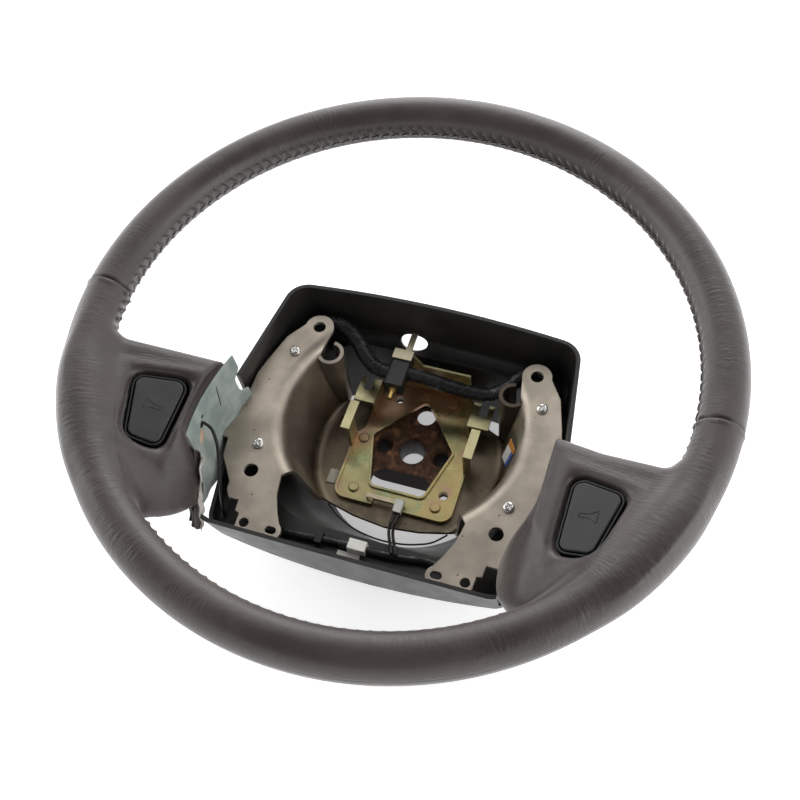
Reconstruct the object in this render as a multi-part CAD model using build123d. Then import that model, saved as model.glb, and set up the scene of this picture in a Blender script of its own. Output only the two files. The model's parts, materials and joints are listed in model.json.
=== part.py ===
"""Two-spoke car steering wheel with a leather rim, without its centre module.

Millimetres. The origin is on the axis of the splined hub bore, at the seat face of the hub.
+Z points along the steering shaft towards the driver, +Y to twelve o'clock, +X to the right spoke.
Pieces that come in pairs are drawn on the right and mirrored.
"""
from build123d import *
from build123d.topology import SkipClean
import math
import os

# Rim
RIM_OUTSIDE = 390.0
GRIP = 26.4
RIM_HEIGHT = 140.0
RING_ROD = 10.0
LEATHER = 1.2
SEAM_DROP = 1.5
SEAM_GAP = 0.4

# Clearances
FIT = 0.05
WELD_GAP = 0.1
LAY_GAP = 0.3
ARC_SHARE = 0.45

# Spoke pads
PAD_TILT = 16.2
PAD_DROP = 12.0
PAD_LEVEL_X = 114.0
PAD_TOP_Y = -20.0
PAD_TOP_FALL = 10.0
PAD_FOOT_Z = 70.0
PAD_END_FOOT_X = 99.0
PAD_END_TOP_X = 104.5
PAD_END_DROP = 7.4
PAD_END_BEVEL = 4.0
PAD_CONE_IN = 112.0
PAD_CONE_SHORT = 9.8
PAD_CONE_DROP = 22.0
PAD_EDGE_ROUND = 9.0
PAD_BOTTOM_X = 101.0
PAD_BOTTOM_Y = -128.0
TOE_X = 89.5
TOE_Y = -98.0
TOE_START_Y = -78.0
TOE_DROP = 9.0

# Horn switches, in the tilted plane of the pad
BUTTON_X = 126.0
BUTTON_Y = -70.7
BUTTON_IN = 11.5
BUTTON_OUT_TOP = 16.2
BUTTON_OUT_LOW = 6.9
BUTTON_TOP_IN = 23.1
BUTTON_TOP_OUT = 15.7
BUTTON_LOW = 19.3
BUTTON_CORNER = 5.0
BUTTON_DEPTH = 7.0
BUTTON_WALL = 1.6
BUTTON_EDGE = 0.8
BUTTON_GAP = 0.8
BEZEL_WALL = 1.0
BEZEL_DROP = 1.0
POCKET_GAP = 0.8
SWITCH_DEPTH = 15.5
SWITCH_FLOOR = 1.5
STEM = 6.0
DOME_BASE = 12.0
DOME_HEIGHT = 4.4
DOME_WALL = 0.8
CONTACT_SHEET = 0.5
CONTACT_LIFT = 3.0
CONTACT_WIDTH = 5.0
CONTACT_LENGTH = 8.0

# Pressed spoke frame
SHEET = 2.5
HUB_HEIGHT = 19.5
EAR_TOP = 78.0
DISH_Y = -8.0
DISH_FLOOR = 62.0
DISH_MOUTH = 74.0
DISH_ROUND = 7.0
ARM_LOW = -51.0
ARM_HIGH = -33.0
ARM_ROOT = 4.0
ARM_BEND_X = 103.0
ARM_TAB = 4.5
ROLL = 8.8
ROLL_PLACE = (60.5, 27.5)
ROLL_DROP = 5.0

# Ears
LOBE_HOLE = (72.2, 41.3)
LOBE_ROUND = 9.3
LOBE_HOLE_D = 8.0
SCREW_HIGH = (80.9, 19.5)
SCREW_LOW = (78.8, -50.2)
ACCESS_HOLE = (76.3, -68.5)
ACCESS_HOLE_D = 8.8
FOOT_HOLE = (67.5, -102.0)
FOOT_HOLE_D = 6.0
FOOT_SLOT = (50.5, -102.3)
FOOT_SLOT_W = 4.6
FOOT_SLOT_L = 7.0
FOOT_ROUND = 6.2
EAR_BACK_EDGE = [(90.0, 29.0), (96.0, 8.0)]
EAR_STRAIGHT = (-2.0, -52.0)
EAR_FRONT_EDGE = [(96.5, -63.5), (86.0, -79.0), (85.7, -84.0), (82.5, -89.0), (76.0, -89.0)]
EAR_STEP_EDGE = [(75.5, -96.0), (72.5, -97.0), (72.0, -106.0)]
EAR_INNER_EDGE = [(51.0, -90.0), (55.5, -79.0), (57.5, -67.0)]
FLOOR_BACK_EDGE = [(20.0, 44.0), (36.0, 33.0), (52.0, 24.0), (66.0, 24.0)]
FLOOR_FRONT_EDGE = [(44.0, -50.0), (22.0, -55.5), (0.0, -58.0)]

# Hub boss
BORE = 18.0
BORE_CHAMFER = 1.0
PULLER_X = 20.0
PULLER_D = 8.5
PULLER_CHAMFER = 2.8
HUB_FLANGE = 42.0
HUB_FLANGE_T = 3.0
HUB_BLOCK_L = 66.0
HUB_BLOCK_W = 33.0
HUB_HOLE = (1.5, 27.5)
HUB_HOLE_D = 12.6
HUB_SLOT_Y = -25.0
HUB_SLOT_L = 40.0
HUB_SLOT_W = 17.0

# Contact plate
PLATE = 1.6
PLATE_HALF = 39.5
PLATE_NECK_STEP = 5.0
PLATE_FRONT = -46.5
PLATE_BACK = 45.5
PLATE_STEP_Y = 1.0
PLATE_STEP = 6.0
PLATE_CORNER = 8.0
PLATE_LIP = 1.4
WINDOW_TOP = 36.5
WINDOW_SIDE = (27.0, 3.0)
WINDOW_FOOT = (17.5, -33.0)
WINDOW_ROUND = 3.5
WINDOW_STEP = 1.5
TAB_Z = 40.0
TAB_OUT = 47.0
TAB_FRONT = 17.0
TAB_BACK = 35.5
TAB_SHIFT = 2.5
TAB_SLOT_W = 5.5
TAB_SLOT_L = 10.0
FLANGE_Z = 47.0
FLANGE_LOW = -9.5
FLANGE_HIGH = 12.0
FLANGE_LIP = 6.0
UPSTAND_Z = 55.0
UPSTAND_BEND = -4.0
UPSTAND_RIGHT = 28.0
UPSTAND_HORN = 9.5
PLATE_HOLE_IN = 9.5
PLATE_HOLE_Y = -27.7
PLATE_HOLE_D = 6.0
PLATE_EYE = (-19.0, 33.4)
PLATE_EYE_D = 5.5
PLATE_NOTCH = (-12.5, 2.0)
PLATE_NOTCH_Y = -41.0
FRONT_RIVET_IN = 12.0
FRONT_RIVET_Y = -37.5
SIDE_RIVET_IN = 6.8
SIDE_RIVET_Y = -1.0
BACK_RIVETS = [(17.0, 39.0), (-3.0, 39.5)]
RIVET_D = 4.0
RIVET_HEAD_D = 7.0
RIVET_HEAD = 1.3
RIVET_CROWN = 1.0

# Ear screws
SCREW_D = 3.6
SCREW_HEAD_D = 6.8
SCREW_HEAD = 2.2
SCREW_CROWN = 0.9
SCREW_REACH = 12.0
SCREW_SOCKET = 2.6

# Back cover
COVER_WALL = 2.5
COVER_LIP = 92.0
COVER_FLOOR = 53.5
COVER_BASE = -2.0
COVER_TOP_Y = 67.3
COVER_TOP_SIDE_Y = 61.5
COVER_TOP_X = 95.0
COVER_SIDE_X = 107.0
COVER_SIDE_Y = -30.0
COVER_LOW_X = 95.0
COVER_LOW_Y = -113.5
COVER_CORNER = 15.0
COVER_DRAFT = 4.0
COVER_BOW = 0.5
COVER_BELLY = 9.5
COVER_EDGE = 9.0
MOUTH_INSIDE = 2.8
MOUTH_TOP = 52.0
MOUTH_LOW = -82.0
MOUTH_CORNER = 36.0
COLLAR_DRAFT = 4.0
BOSS_D = 7.0
PILOT_GAP = 0.1
EYELET_X = -15.4
EYELET_L = 18.4
EYELET_W = 10.8
EYELET_TILT = 45.0
NOTCH_Z = 66.0
NOTCH_TOP = -15.0
NOTCH_X = 88.0

# Pieces at the back of the dish
BLOCK_X = -16.8
BLOCK_WIDTH = 12.4
BLOCK_FRONT = 20.5
BLOCK_HIGH = 64.0
BLOCK_HEIGHT = 11.0
BLOCK_EDGE = 1.5
BRACKET = 1.5
BRACKET_WIDTH = 13.0
BRACKET_OVER = 6.0
TONGUE_WIDTH = 4.0
TONGUE_LENGTH = 14.0
TONGUE_SHIFT = 2.6
PIN_D = 3.6
PIN_LENGTH = 8.0
PIN_COLLAR_D = 5.2
PIN_COLLAR = 2.0

# Leads and what hangs on them
LEFT_HARNESS_D = 10.0
RIGHT_HARNESS_D = 9.0
BRANCH_D = 4.6
LEAD_D = 2.0
WIRE_D = 1.2
BLADE_LEFT = -16.5
BLADE_LENGTH = 19.5
BLADE_WIDTH = 3.0
BLADE_SHEET = 0.8
BLADE_LIFT = 4.2
BLADE_Y = -42.2
LEAD_OVER = 4.15
PLUG_LENGTH = 9.0
PLUG_WIDTH = 5.6
PLUG_HEIGHT = 5.0
PLUG_EDGE = 0.6
INLINE_X = -3.0
INLINE_LENGTH = 11.0
INLINE_SIDE = 7.0
CLIP_PLACE = (-27.0, -90.8)
CLIP_WIDTH = 4.0
CLIP_WALL = 1.2
TAG_SIZE = (14.0, 8.0, 0.6)
TAG_PLACE = (-7.5, -97.5)
LABEL_SIZE = (0.5, 8.0, 25.0)
LABEL_Z = 55.0
LABEL_TURN = 4.0
LABEL_TWIST = 30.0
FIBRE_SIZE = (10.0, 0.8)
FIBRE_Y = -33.0
FIBRE_WALL_GAP = 15.5
FLAP = 1.0
FLAP_TOP_Y = -23.5
FLAP_FOOT_Y = -14.0
FLAP_FOOT = 72.0
FLAP_EYE = (-61.0, 107.0)
FLAP_EYE_D = 7.0

# Worked out from the sizes above
RIM_RADIUS = (RIM_OUTSIDE - GRIP) / 2
PAD_LEVEL = RIM_HEIGHT - PAD_DROP
FLOOR_TOP = HUB_HEIGHT + SHEET
PLATE_TOP = FLOOR_TOP + PLATE
EAR_UNDER = EAR_TOP - SHEET
BEZEL_OUT = BUTTON_GAP + BEZEL_WALL
POCKET_GROW = BEZEL_OUT + POCKET_GAP
SWITCH_INSIDE = SWITCH_FLOOR - SWITCH_DEPTH
DOME_TOP = SWITCH_INSIDE + DOME_HEIGHT
BLOCK_LOW = BLOCK_HIGH - BLOCK_HEIGHT
BLOCK_MIDDLE = BLOCK_HIGH - BLOCK_HEIGHT / 2
BRANCH_Z = COVER_FLOOR + BRANCH_D / 2 + FIT
SCREWS = [SCREW_HIGH, SCREW_LOW]
MOUTH_HALF = SCREW_LOW[0] - MOUTH_INSIDE
PLATE_NECK = PLATE_HALF - PLATE_NECK_STEP
FLANGE_X = PLATE_HALF - PLATE
PLATE_HOLE = (PLATE_HALF - PLATE_HOLE_IN, PLATE_HOLE_Y)
FRONT_RIVET = (PLATE_HALF - FRONT_RIVET_IN, FRONT_RIVET_Y)
SIDE_RIVET = (SIDE_RIVET_IN - PLATE_HALF, SIDE_RIVET_Y)
FRONT_RIVETS = [(side * FRONT_RIVET[0], FRONT_RIVET[1]) for side in (1, -1)]
RIVETS = [*BACK_RIVETS, *FRONT_RIVETS, SIDE_RIVET]
FLOOR_HOLES = [(PLATE_HOLE, PLATE_HOLE_D), (PLATE_EYE, PLATE_EYE_D)]
BLOCK_BACK = PLATE_BACK
PILOT_D = SCREW_D + PILOT_GAP
RIVET_HOLE_D = RIVET_D + 2 * FIT
FAR = 300.0


# Helpers
def face_of(*points):
    """Flat face with straight sides."""
    return make_face(Polyline(*points, close=True))


def at_rim(shape):
    """Lift a shape from the origin to the height of the rim's middle."""
    return Pos(0, 0, RIM_HEIGHT) * shape


def rim_arc(section, start, sweep_angle):
    """Carry a section round the rim from one angle through another."""
    upright = Plane.XZ * Pos(RIM_RADIUS, 0) * section
    return at_rim(Rot(0, 0, start) * revolve(upright, Axis.Z, sweep_angle))


def block(low, high):
    """Box between two corners."""
    size = [b - a for a, b in zip(low, high)]
    middle = [(a + b) / 2 for a, b in zip(low, high)]
    return Pos(*middle) * Box(*size)


def peg(place, diameter, low, high):
    """Upright cylinder on a place in plan."""
    return Pos(place[0], place[1], (low + high) / 2) * Cylinder(diameter / 2, high - low)


def mirrored(shape):
    return mirror(shape, Plane.YZ)


def pair(shape):
    """A piece on the right with its mirror image on the left."""
    return [shape, mirrored(shape)]


def both_halves(half):
    """A symmetric piece from its right half, with the faces of the halves left apart."""
    with SkipClean():
        return half + mirrored(half)


def along_y(section, low, high):
    """Prism with its section in the XZ plane, between two places along Y."""
    return Pos(0, high, 0) * extrude(Plane.XZ * section, high - low)


def lead(diameter, points):
    """Round lead along straight runs joined by arcs as large as the runs allow."""
    radii = []
    for before, corner, after in zip(points, points[1:], points[2:]):
        one = Vector(*corner) - Vector(*before)
        two = Vector(*after) - Vector(*corner)
        turn = math.radians(one.get_angle(two))
        radii.append(ARC_SHARE * min(one.length, two.length) / math.tan(turn / 2))
    path = FilletPolyline(*points, radius=radii)
    print("lead", diameter, "length", round(path.length, 1), "radii", [round(r, 1) for r in radii])
    return sweep(Plane(path @ 0, z_dir=path % 0) * Circle(diameter / 2), path)


# Spoke pads
def pad_top(x):
    """Height of the sloping face of a pad."""
    return PAD_LEVEL + (x - PAD_LEVEL_X) * math.tan(math.radians(PAD_TILT))


PAD_END_TOP_Z = pad_top(PAD_END_TOP_X + PAD_END_BEVEL) - PAD_END_DROP
TOE_TOP = PAD_END_TOP_Z - TOE_DROP


def pad_end(z):
    """Place of the leaning inner end of a pad."""
    lean = (PAD_END_TOP_X - PAD_END_FOOT_X) / (PAD_END_TOP_Z - PAD_FOOT_Z)
    return PAD_END_FOOT_X + lean * (z - PAD_FOOT_Z)


EAR_REACH = pad_end(EAR_TOP) - FLAP - 2 * LAY_GAP


def drawn_in(face, inset):
    return offset(face, -inset, kind=Kind.INTERSECTION) if inset else face


def pad(inset):
    """Spoke pad: plan, side profile and underside cone, each drawn in by the inset."""
    plan = face_of(
        (PAD_END_FOOT_X - GRIP, PAD_TOP_Y),
        (RIM_RADIUS, PAD_TOP_Y - PAD_TOP_FALL),
        (RIM_RADIUS, PAD_BOTTOM_Y - GRIP),
        (PAD_BOTTOM_X + GRIP / 2, PAD_BOTTOM_Y - GRIP / 2),
        (PAD_BOTTOM_X, PAD_BOTTOM_Y),
        (PAD_END_FOOT_X - GRIP, PAD_BOTTOM_Y + GRIP),
    )
    bevel_x = PAD_END_TOP_X + PAD_END_BEVEL
    side = face_of(
        (PAD_END_FOOT_X, PAD_FOOT_Z),
        (PAD_END_TOP_X, PAD_END_TOP_Z),
        (bevel_x, pad_top(bevel_x)),
        (RIM_RADIUS, pad_top(RIM_RADIUS)),
        (RIM_RADIUS, PAD_FOOT_Z),
    )
    under = face_of(
        (TOE_X, PAD_FOOT_Z),
        (PAD_CONE_IN, PAD_FOOT_Z),
        (RIM_RADIUS - PAD_CONE_SHORT, RIM_HEIGHT - PAD_CONE_DROP),
        (RIM_RADIUS, RIM_HEIGHT - GRIP / 4),
        (RIM_RADIUS, RIM_HEIGHT + GRIP),
        (TOE_X, RIM_HEIGHT + GRIP),
    )
    toe_plan = face_of(
        (pad_end(TOE_TOP) + GRIP / 2, TOE_START_Y),
        (pad_end(TOE_TOP), TOE_START_Y),
        (TOE_X, TOE_Y),
        (TOE_X, COVER_LOW_Y),
        (PAD_BOTTOM_X, PAD_BOTTOM_Y),
        (pad_end(TOE_TOP) + GRIP / 2, PAD_BOTTOM_Y),
    )
    above_cone = revolve(Plane.XZ * drawn_in(under, inset), Axis.Z, -90)
    main = extrude(drawn_in(plan, inset), FAR) & along_y(drawn_in(side, inset), -FAR, 0) & above_cone
    upper_side = [e for e in main.edges() if is_upper_side(e @ 0.5, inset)]
    main = fillet(upper_side, PAD_EDGE_ROUND - inset)
    toe = extrude(drawn_in(toe_plan, inset), TOE_TOP - inset) & above_cone
    return main + toe


def is_upper_side(point, inset):
    """Whether a point lies on the side of the pad that faces twelve o'clock."""
    run = (point.X - PAD_END_FOOT_X + GRIP) / (RIM_RADIUS - PAD_END_FOOT_X + GRIP)
    on_side = abs(point.Y - (PAD_TOP_Y - PAD_TOP_FALL * run - inset)) < LEATHER
    return on_side and point.Z > PAD_END_TOP_Z and point.X < RIM_RADIUS - GRIP


def arm(grow):
    """Bar from the ear's outer edge up to a tab on the ring, hidden in the spoke."""
    run = math.sqrt(RIM_RADIUS**2 - ARM_LOW**2) - ARM_BEND_X
    rise = RIM_HEIGHT - (EAR_UNDER + EAR_TOP) / 2
    low, high = EAR_UNDER - grow, EAR_TOP + grow
    section = face_of(
        (EAR_REACH - ARM_ROOT, low),
        (ARM_BEND_X, low),
        (ARM_BEND_X + run, low + rise),
        (ARM_BEND_X + run + ARM_TAB, low + rise),
        (ARM_BEND_X + run + ARM_TAB, high + rise),
        (ARM_BEND_X + run, high + rise),
        (ARM_BEND_X, high),
        (EAR_REACH - ARM_ROOT, high),
    )
    return along_y(section, ARM_LOW - grow, ARM_HIGH + grow)


# Horn switches
def button_plane():
    """Plane in the face of the pad, with its normal along the button's travel."""
    tilt = math.radians(PAD_TILT)
    return Plane(
        origin=(BUTTON_X, BUTTON_Y, pad_top(BUTTON_X)),
        x_dir=(math.cos(tilt), 0, math.sin(tilt)),
        z_dir=(-math.sin(tilt), 0, math.cos(tilt)),
    )


def button_outline(grow):
    """Rounded trapezoid, wider towards twelve o'clock, grown by a gap."""
    corners = face_of(
        (BUTTON_OUT_TOP, BUTTON_TOP_OUT),
        (-BUTTON_IN, BUTTON_TOP_IN),
        (-BUTTON_IN, -BUTTON_LOW),
        (BUTTON_OUT_LOW, -BUTTON_LOW),
    )
    rounded = fillet(corners.vertices(), BUTTON_CORNER)
    return offset(rounded, grow) if grow else rounded


def button_prism(grow, low, high):
    """Prism on the button's outline between two heights above the face of the pad."""
    return Pos(0, 0, low) * extrude(button_outline(grow), high - low)


def horn_button():
    cap = button_prism(0, -BUTTON_DEPTH, 0)
    cap = fillet(cap.faces().sort_by(Axis.Z)[-1].edges(), BUTTON_EDGE)
    cap -= button_prism(-BUTTON_WALL, -BUTTON_DEPTH, -BUTTON_WALL)
    cap += peg((0, 0), STEM, DOME_TOP + FIT, -BUTTON_WALL)
    return button_plane() * cap


def horn_switch():
    cup = button_prism(BEZEL_OUT, -SWITCH_DEPTH, -BEZEL_DROP)
    cup -= button_prism(BUTTON_GAP, SWITCH_INSIDE, 0)
    return button_plane() * cup


def horn_pocket():
    return button_plane() * button_prism(POCKET_GROW, -SWITCH_DEPTH, PAD_EDGE_ROUND)


def horn_dome():
    """Rubber return dome on the switch floor, under the button's stem."""
    foot = DOME_BASE / 2
    section = face_of(
        (foot, 0),
        (foot - 2 * DOME_WALL, 0),
        (STEM / 2 - DOME_WALL / 2, DOME_HEIGHT - DOME_WALL),
        (0, DOME_HEIGHT - DOME_WALL),
        (0, DOME_HEIGHT),
        (STEM / 2, DOME_HEIGHT),
        (foot, DOME_WALL),
    )
    return button_plane() * Pos(0, 0, SWITCH_INSIDE) * revolve(Plane.XZ * section, Axis.Z)


def horn_contact():
    """Brass strip on the switch floor, bent up beside the dome."""
    section = face_of(
        (0, 0),
        (CONTACT_LENGTH, 0),
        (CONTACT_LENGTH, CONTACT_SHEET),
        (CONTACT_SHEET, CONTACT_SHEET),
        (CONTACT_SHEET, CONTACT_LIFT),
        (0, CONTACT_LIFT),
    )
    bent = extrude(Plane.YZ * section, CONTACT_WIDTH)
    return button_plane() * Pos(-CONTACT_WIDTH / 2, DOME_BASE / 2 + LAY_GAP, SWITCH_INSIDE) * bent


# Rim
def rim_armature():
    return at_rim(Torus(RIM_RADIUS, RING_ROD / 2))


def right_rim(radius):
    """Right half of a ring as thick as a rod of the radius."""
    return rim_arc(Circle(radius), -90, 180)


def rim_foam():
    core = GRIP / 2 - LEATHER - FIT
    half = right_rim(core) + pad(LEATHER + FIT)
    half -= [horn_pocket(), arm(WELD_GAP)]
    return both_halves(half - right_rim(RING_ROD / 2 + FIT))


def upper_leather():
    section = Circle(GRIP / 2) - Circle(GRIP / 2 - LEATHER)
    gap = math.degrees(SEAM_GAP / RIM_RADIUS)
    return rim_arc(section, gap - SEAM_DROP, 180 + 2 * (SEAM_DROP - gap))


def lower_leather():
    """Skin of the lower rim and both pads, open at the pads' inner ends."""
    skin_end = LEATHER + LAY_GAP
    open_end = face_of(
        (PAD_END_FOOT_X - GRIP, PAD_FOOT_Z),
        (PAD_END_FOOT_X + skin_end, PAD_FOOT_Z),
        (PAD_END_TOP_X + skin_end, PAD_END_TOP_Z),
        (PAD_END_FOOT_X - GRIP, PAD_END_TOP_Z),
    )
    half = rim_arc(Circle(GRIP / 2), -90, 90 - SEAM_DROP) + pad(0)
    half -= pad(LEATHER + FIT)
    half -= [horn_pocket(), along_y(open_end, TOE_START_Y, 0)]
    return both_halves(half - right_rim(GRIP / 2 - LEATHER))


def end_flap():
    """Folded sheet that closes the inner end of the spoke, slit round the arm."""
    near = LAY_GAP + FLAP
    low_y = TOE_START_Y + LAY_GAP
    section = face_of(
        (pad_end(FLAP_FOOT) - near, FLAP_FOOT),
        (pad_end(FLAP_FOOT) - LAY_GAP, FLAP_FOOT),
        (PAD_END_TOP_X - LAY_GAP, PAD_END_TOP_Z),
        (PAD_END_TOP_X - near, PAD_END_TOP_Z),
    )
    outline = face_of(
        (low_y, FLAP_FOOT),
        (FLAP_FOOT_Y, FLAP_FOOT),
        (FLAP_TOP_Y, PAD_END_TOP_Z),
        (low_y, PAD_END_TOP_Z),
    )
    sheet = along_y(section, low_y, 0) & extrude(Plane.YZ * outline, FAR)
    eye_y, eye_z = FLAP_EYE
    eye = Pos(pad_end(eye_z), eye_y, eye_z) * Rot(0, 90, 0) * Cylinder(FLAP_EYE_D / 2, FLAP_EYE_D)
    return sheet - arm(LAY_GAP) - eye


# Frame
def drawn_sheet():
    """Dish of revolution: flat floor, steep wall and flat flange of one sheet thickness."""
    wall_angle = math.atan2(EAR_TOP - FLOOR_TOP, DISH_MOUTH - DISH_FLOOR)
    shift = SHEET * math.tan(wall_angle / 2)
    foot, mouth = (DISH_FLOOR, FLOOR_TOP), (DISH_MOUTH, EAR_TOP)
    under_foot, under_mouth = (DISH_FLOOR + shift, HUB_HEIGHT), (DISH_MOUTH + shift, EAR_UNDER)
    section = face_of(
        (0, FLOOR_TOP),
        foot,
        mouth,
        (FAR, EAR_TOP),
        (FAR, EAR_UNDER),
        under_mouth,
        under_foot,
        (0, HUB_HEIGHT),
    )
    section = rounded(section, [foot, under_mouth], DISH_ROUND)
    section = rounded(section, [mouth, under_foot], DISH_ROUND + SHEET)
    return Pos(0, DISH_Y, 0) * revolve(Plane.XZ * section, Axis.Z)


def rounded(face, places, radius):
    """Round the corners of a face that lie nearest to the places."""
    corners = [face.vertices().sort_by_distance(Vector(*place))[0] for place in places]
    return fillet(corners, radius)


def ear_blank():
    """Right half of the trimmed blank in plan, from the floor's back edge round the ear."""
    lobe_x, lobe_y = LOBE_HOLE
    slot_x, slot_y = FOOT_SLOT
    straight_back, straight_front = EAR_STRAIGHT
    lobe_left, lobe_right = lobe_x - LOBE_ROUND, lobe_x + LOBE_ROUND
    lobe_edge = [(lobe_left, lobe_y), (lobe_x, lobe_y + LOBE_ROUND), (lobe_right, lobe_y)]
    arm_edge = [(EAR_REACH, straight_back), (EAR_REACH, straight_front)]
    foot_edge = [(slot_x, slot_y - FOOT_ROUND), (slot_x - FOOT_ROUND, slot_y)]
    outer = EAR_BACK_EDGE + arm_edge + EAR_FRONT_EDGE + EAR_STEP_EDGE
    back = [(0, FLOOR_BACK_EDGE[0][1]), *FLOOR_BACK_EDGE]
    front = [*foot_edge, *EAR_INNER_EDGE, *FLOOR_FRONT_EDGE]
    lobe = Pos(lobe_x, lobe_y) * Circle(LOBE_ROUND)
    foot = Pos(slot_x, slot_y) * Circle(FOOT_ROUND)
    return face_of(*back, *lobe_edge, *outer, *front) + lobe + foot


def ear_holes():
    """Punches for the holes of the right ear, longer than the sheet is thick."""
    low, high = EAR_UNDER - SHEET, EAR_TOP + SHEET
    punches = [peg(LOBE_HOLE, LOBE_HOLE_D, low, high)]
    punches += [peg(place, PILOT_D, low, high) for place in SCREWS]
    punches.append(peg(ACCESS_HOLE, ACCESS_HOLE_D, low, high))
    punches.append(peg(FOOT_HOLE, FOOT_HOLE_D, low, high))
    slot = extrude(SlotOverall(FOOT_SLOT_L, FOOT_SLOT_W), high - low)
    punches.append(Pos(*FOOT_SLOT, low) * slot)
    return punches


def rolled_edge():
    """Rolled back edge of the dish wall: three quarters of a tube, open to the rear and outside."""
    low, high = FLOOR_TOP, EAR_TOP - ROLL_DROP
    roll_x, roll_y = ROLL_PLACE
    tube = peg(ROLL_PLACE, 2 * ROLL, low, high) - peg(ROLL_PLACE, 2 * (ROLL - SHEET), low, high)
    return tube - block((roll_x, roll_y, low), (roll_x + ROLL, roll_y + ROLL, high))


def spoke_frame():
    blank = extrude(ear_blank(), FAR)
    frame = drawn_sheet() & (blank + mirrored(blank))
    frame += pair(arm(0)) + pair(rolled_edge())
    frame -= Pos(0, 0, HUB_HEIGHT) * extrude(window_outline(WINDOW_STEP), SHEET)
    frame -= [peg(place, RIVET_HOLE_D, HUB_HEIGHT, FLOOR_TOP) for place in RIVETS]
    frame -= floor_holes(HUB_HEIGHT, FLOOR_TOP)
    for punch in ear_holes():
        frame -= pair(punch)
    return frame - at_rim(Torus(RIM_RADIUS, RING_ROD / 2 + WELD_GAP))


def boss_outline(grow):
    return SlotOverall(HUB_BLOCK_L + 2 * grow, HUB_BLOCK_W + 2 * grow)


def hub_boss():
    """Forged boss round the splined bore, with a puller hole on each side."""
    boss = extrude(boss_outline(0), HUB_HEIGHT)
    boss -= peg((0, 0), BORE, 0, HUB_HEIGHT)
    boss -= pair(peg((PULLER_X, 0), PULLER_D, 0, HUB_HEIGHT))
    boss -= countersink((0, 0), BORE, BORE_CHAMFER)
    return boss - pair(countersink((PULLER_X, 0), PULLER_D, PULLER_CHAMFER))


def hub_flange():
    """Thin flange under the floor of the dish: a back and a front plate, welded to the boss."""
    low = HUB_HEIGHT - HUB_FLANGE_T
    flange = peg((0, 0), 2 * HUB_FLANGE, low, HUB_HEIGHT)
    flange -= Pos(0, 0, low) * extrude(boss_outline(WELD_GAP), HUB_FLANGE_T)
    flange -= peg(HUB_HOLE, HUB_HOLE_D, low, HUB_HEIGHT)
    flange -= floor_holes(low, HUB_HEIGHT)
    flange -= Pos(0, HUB_SLOT_Y, low) * extrude(SlotOverall(HUB_SLOT_L, HUB_SLOT_W), HUB_FLANGE_T)
    joint = -HUB_BLOCK_W / 2 - WELD_GAP
    return flange - block((-HUB_FLANGE, joint - WELD_GAP, low), (HUB_FLANGE, joint, HUB_HEIGHT))


def floor_holes(low, high):
    """Punches for the holes of the contact plate that go on through the dish and the hub."""
    return [peg(place, diameter, low, high) for place, diameter in FLOOR_HOLES]


def countersink(place, diameter, depth):
    """Cone that opens a hole at the top face of the boss by its depth all round."""
    cone = Cone(diameter / 2, diameter / 2 + depth, depth)
    return Pos(*place, HUB_HEIGHT - depth / 2) * cone


# Contact plate
def window_outline(grow):
    """Five-sided window with rounded corners."""
    side_x, side_y = WINDOW_SIDE
    foot_x, foot_y = WINDOW_FOOT
    window = face_of(
        (0, WINDOW_TOP),
        (side_x, side_y),
        (foot_x, foot_y),
        (-foot_x, foot_y),
        (-side_x, side_y),
    )
    window = fillet(window.vertices(), WINDOW_ROUND)
    return offset(window, grow) if grow else window


def plate_outline():
    """Broad front, stepped in to a neck behind the side flanges."""
    outline = face_of(
        (-PLATE_HALF, PLATE_FRONT),
        (PLATE_HALF, PLATE_FRONT),
        (PLATE_HALF, PLATE_STEP_Y),
        (PLATE_NECK, PLATE_STEP_Y + PLATE_STEP),
        (PLATE_NECK, PLATE_BACK),
        (-PLATE_NECK, PLATE_BACK),
        (-PLATE_NECK, PLATE_STEP_Y + PLATE_STEP),
        (-PLATE_HALF, PLATE_STEP_Y),
    )
    front = [(-PLATE_HALF, PLATE_FRONT), (PLATE_HALF, PLATE_FRONT)]
    return rounded(outline, front, PLATE_CORNER)


def rim_of(outline):
    """Narrow band just inside an outline, one sheet wide."""
    return outline - offset(outline, -PLATE)


def slotted_tab():
    """Right-hand tab on an upright web, with an open slot at its back edge."""
    web_x = PLATE_NECK - PLATE
    tab = block((web_x, TAB_FRONT, PLATE_TOP), (PLATE_NECK, TAB_BACK, TAB_Z))
    tab += block((web_x, TAB_FRONT, TAB_Z - PLATE), (TAB_OUT, TAB_BACK, TAB_Z))
    slot_x = (PLATE_NECK + TAB_OUT) / 2
    half = TAB_SLOT_W / 2
    slot_end = TAB_BACK - TAB_SLOT_L + half
    tab -= block((slot_x - half, slot_end, TAB_Z - PLATE), (slot_x + half, TAB_BACK, TAB_Z))
    return tab - peg((slot_x, slot_end), TAB_SLOT_W, TAB_Z - PLATE, TAB_Z)


def side_flange():
    """Right-hand upright wall of the plate with its top edge turned out."""
    outer = FLANGE_X + PLATE
    wall = block((FLANGE_X, FLANGE_LOW, PLATE_TOP), (outer, PLATE_STEP_Y, FLANGE_Z))
    lip = block((FLANGE_X, FLANGE_LOW, FLANGE_Z - PLATE), (FLANGE_X + FLANGE_LIP, FLANGE_HIGH, FLANGE_Z))
    return wall + lip


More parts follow.
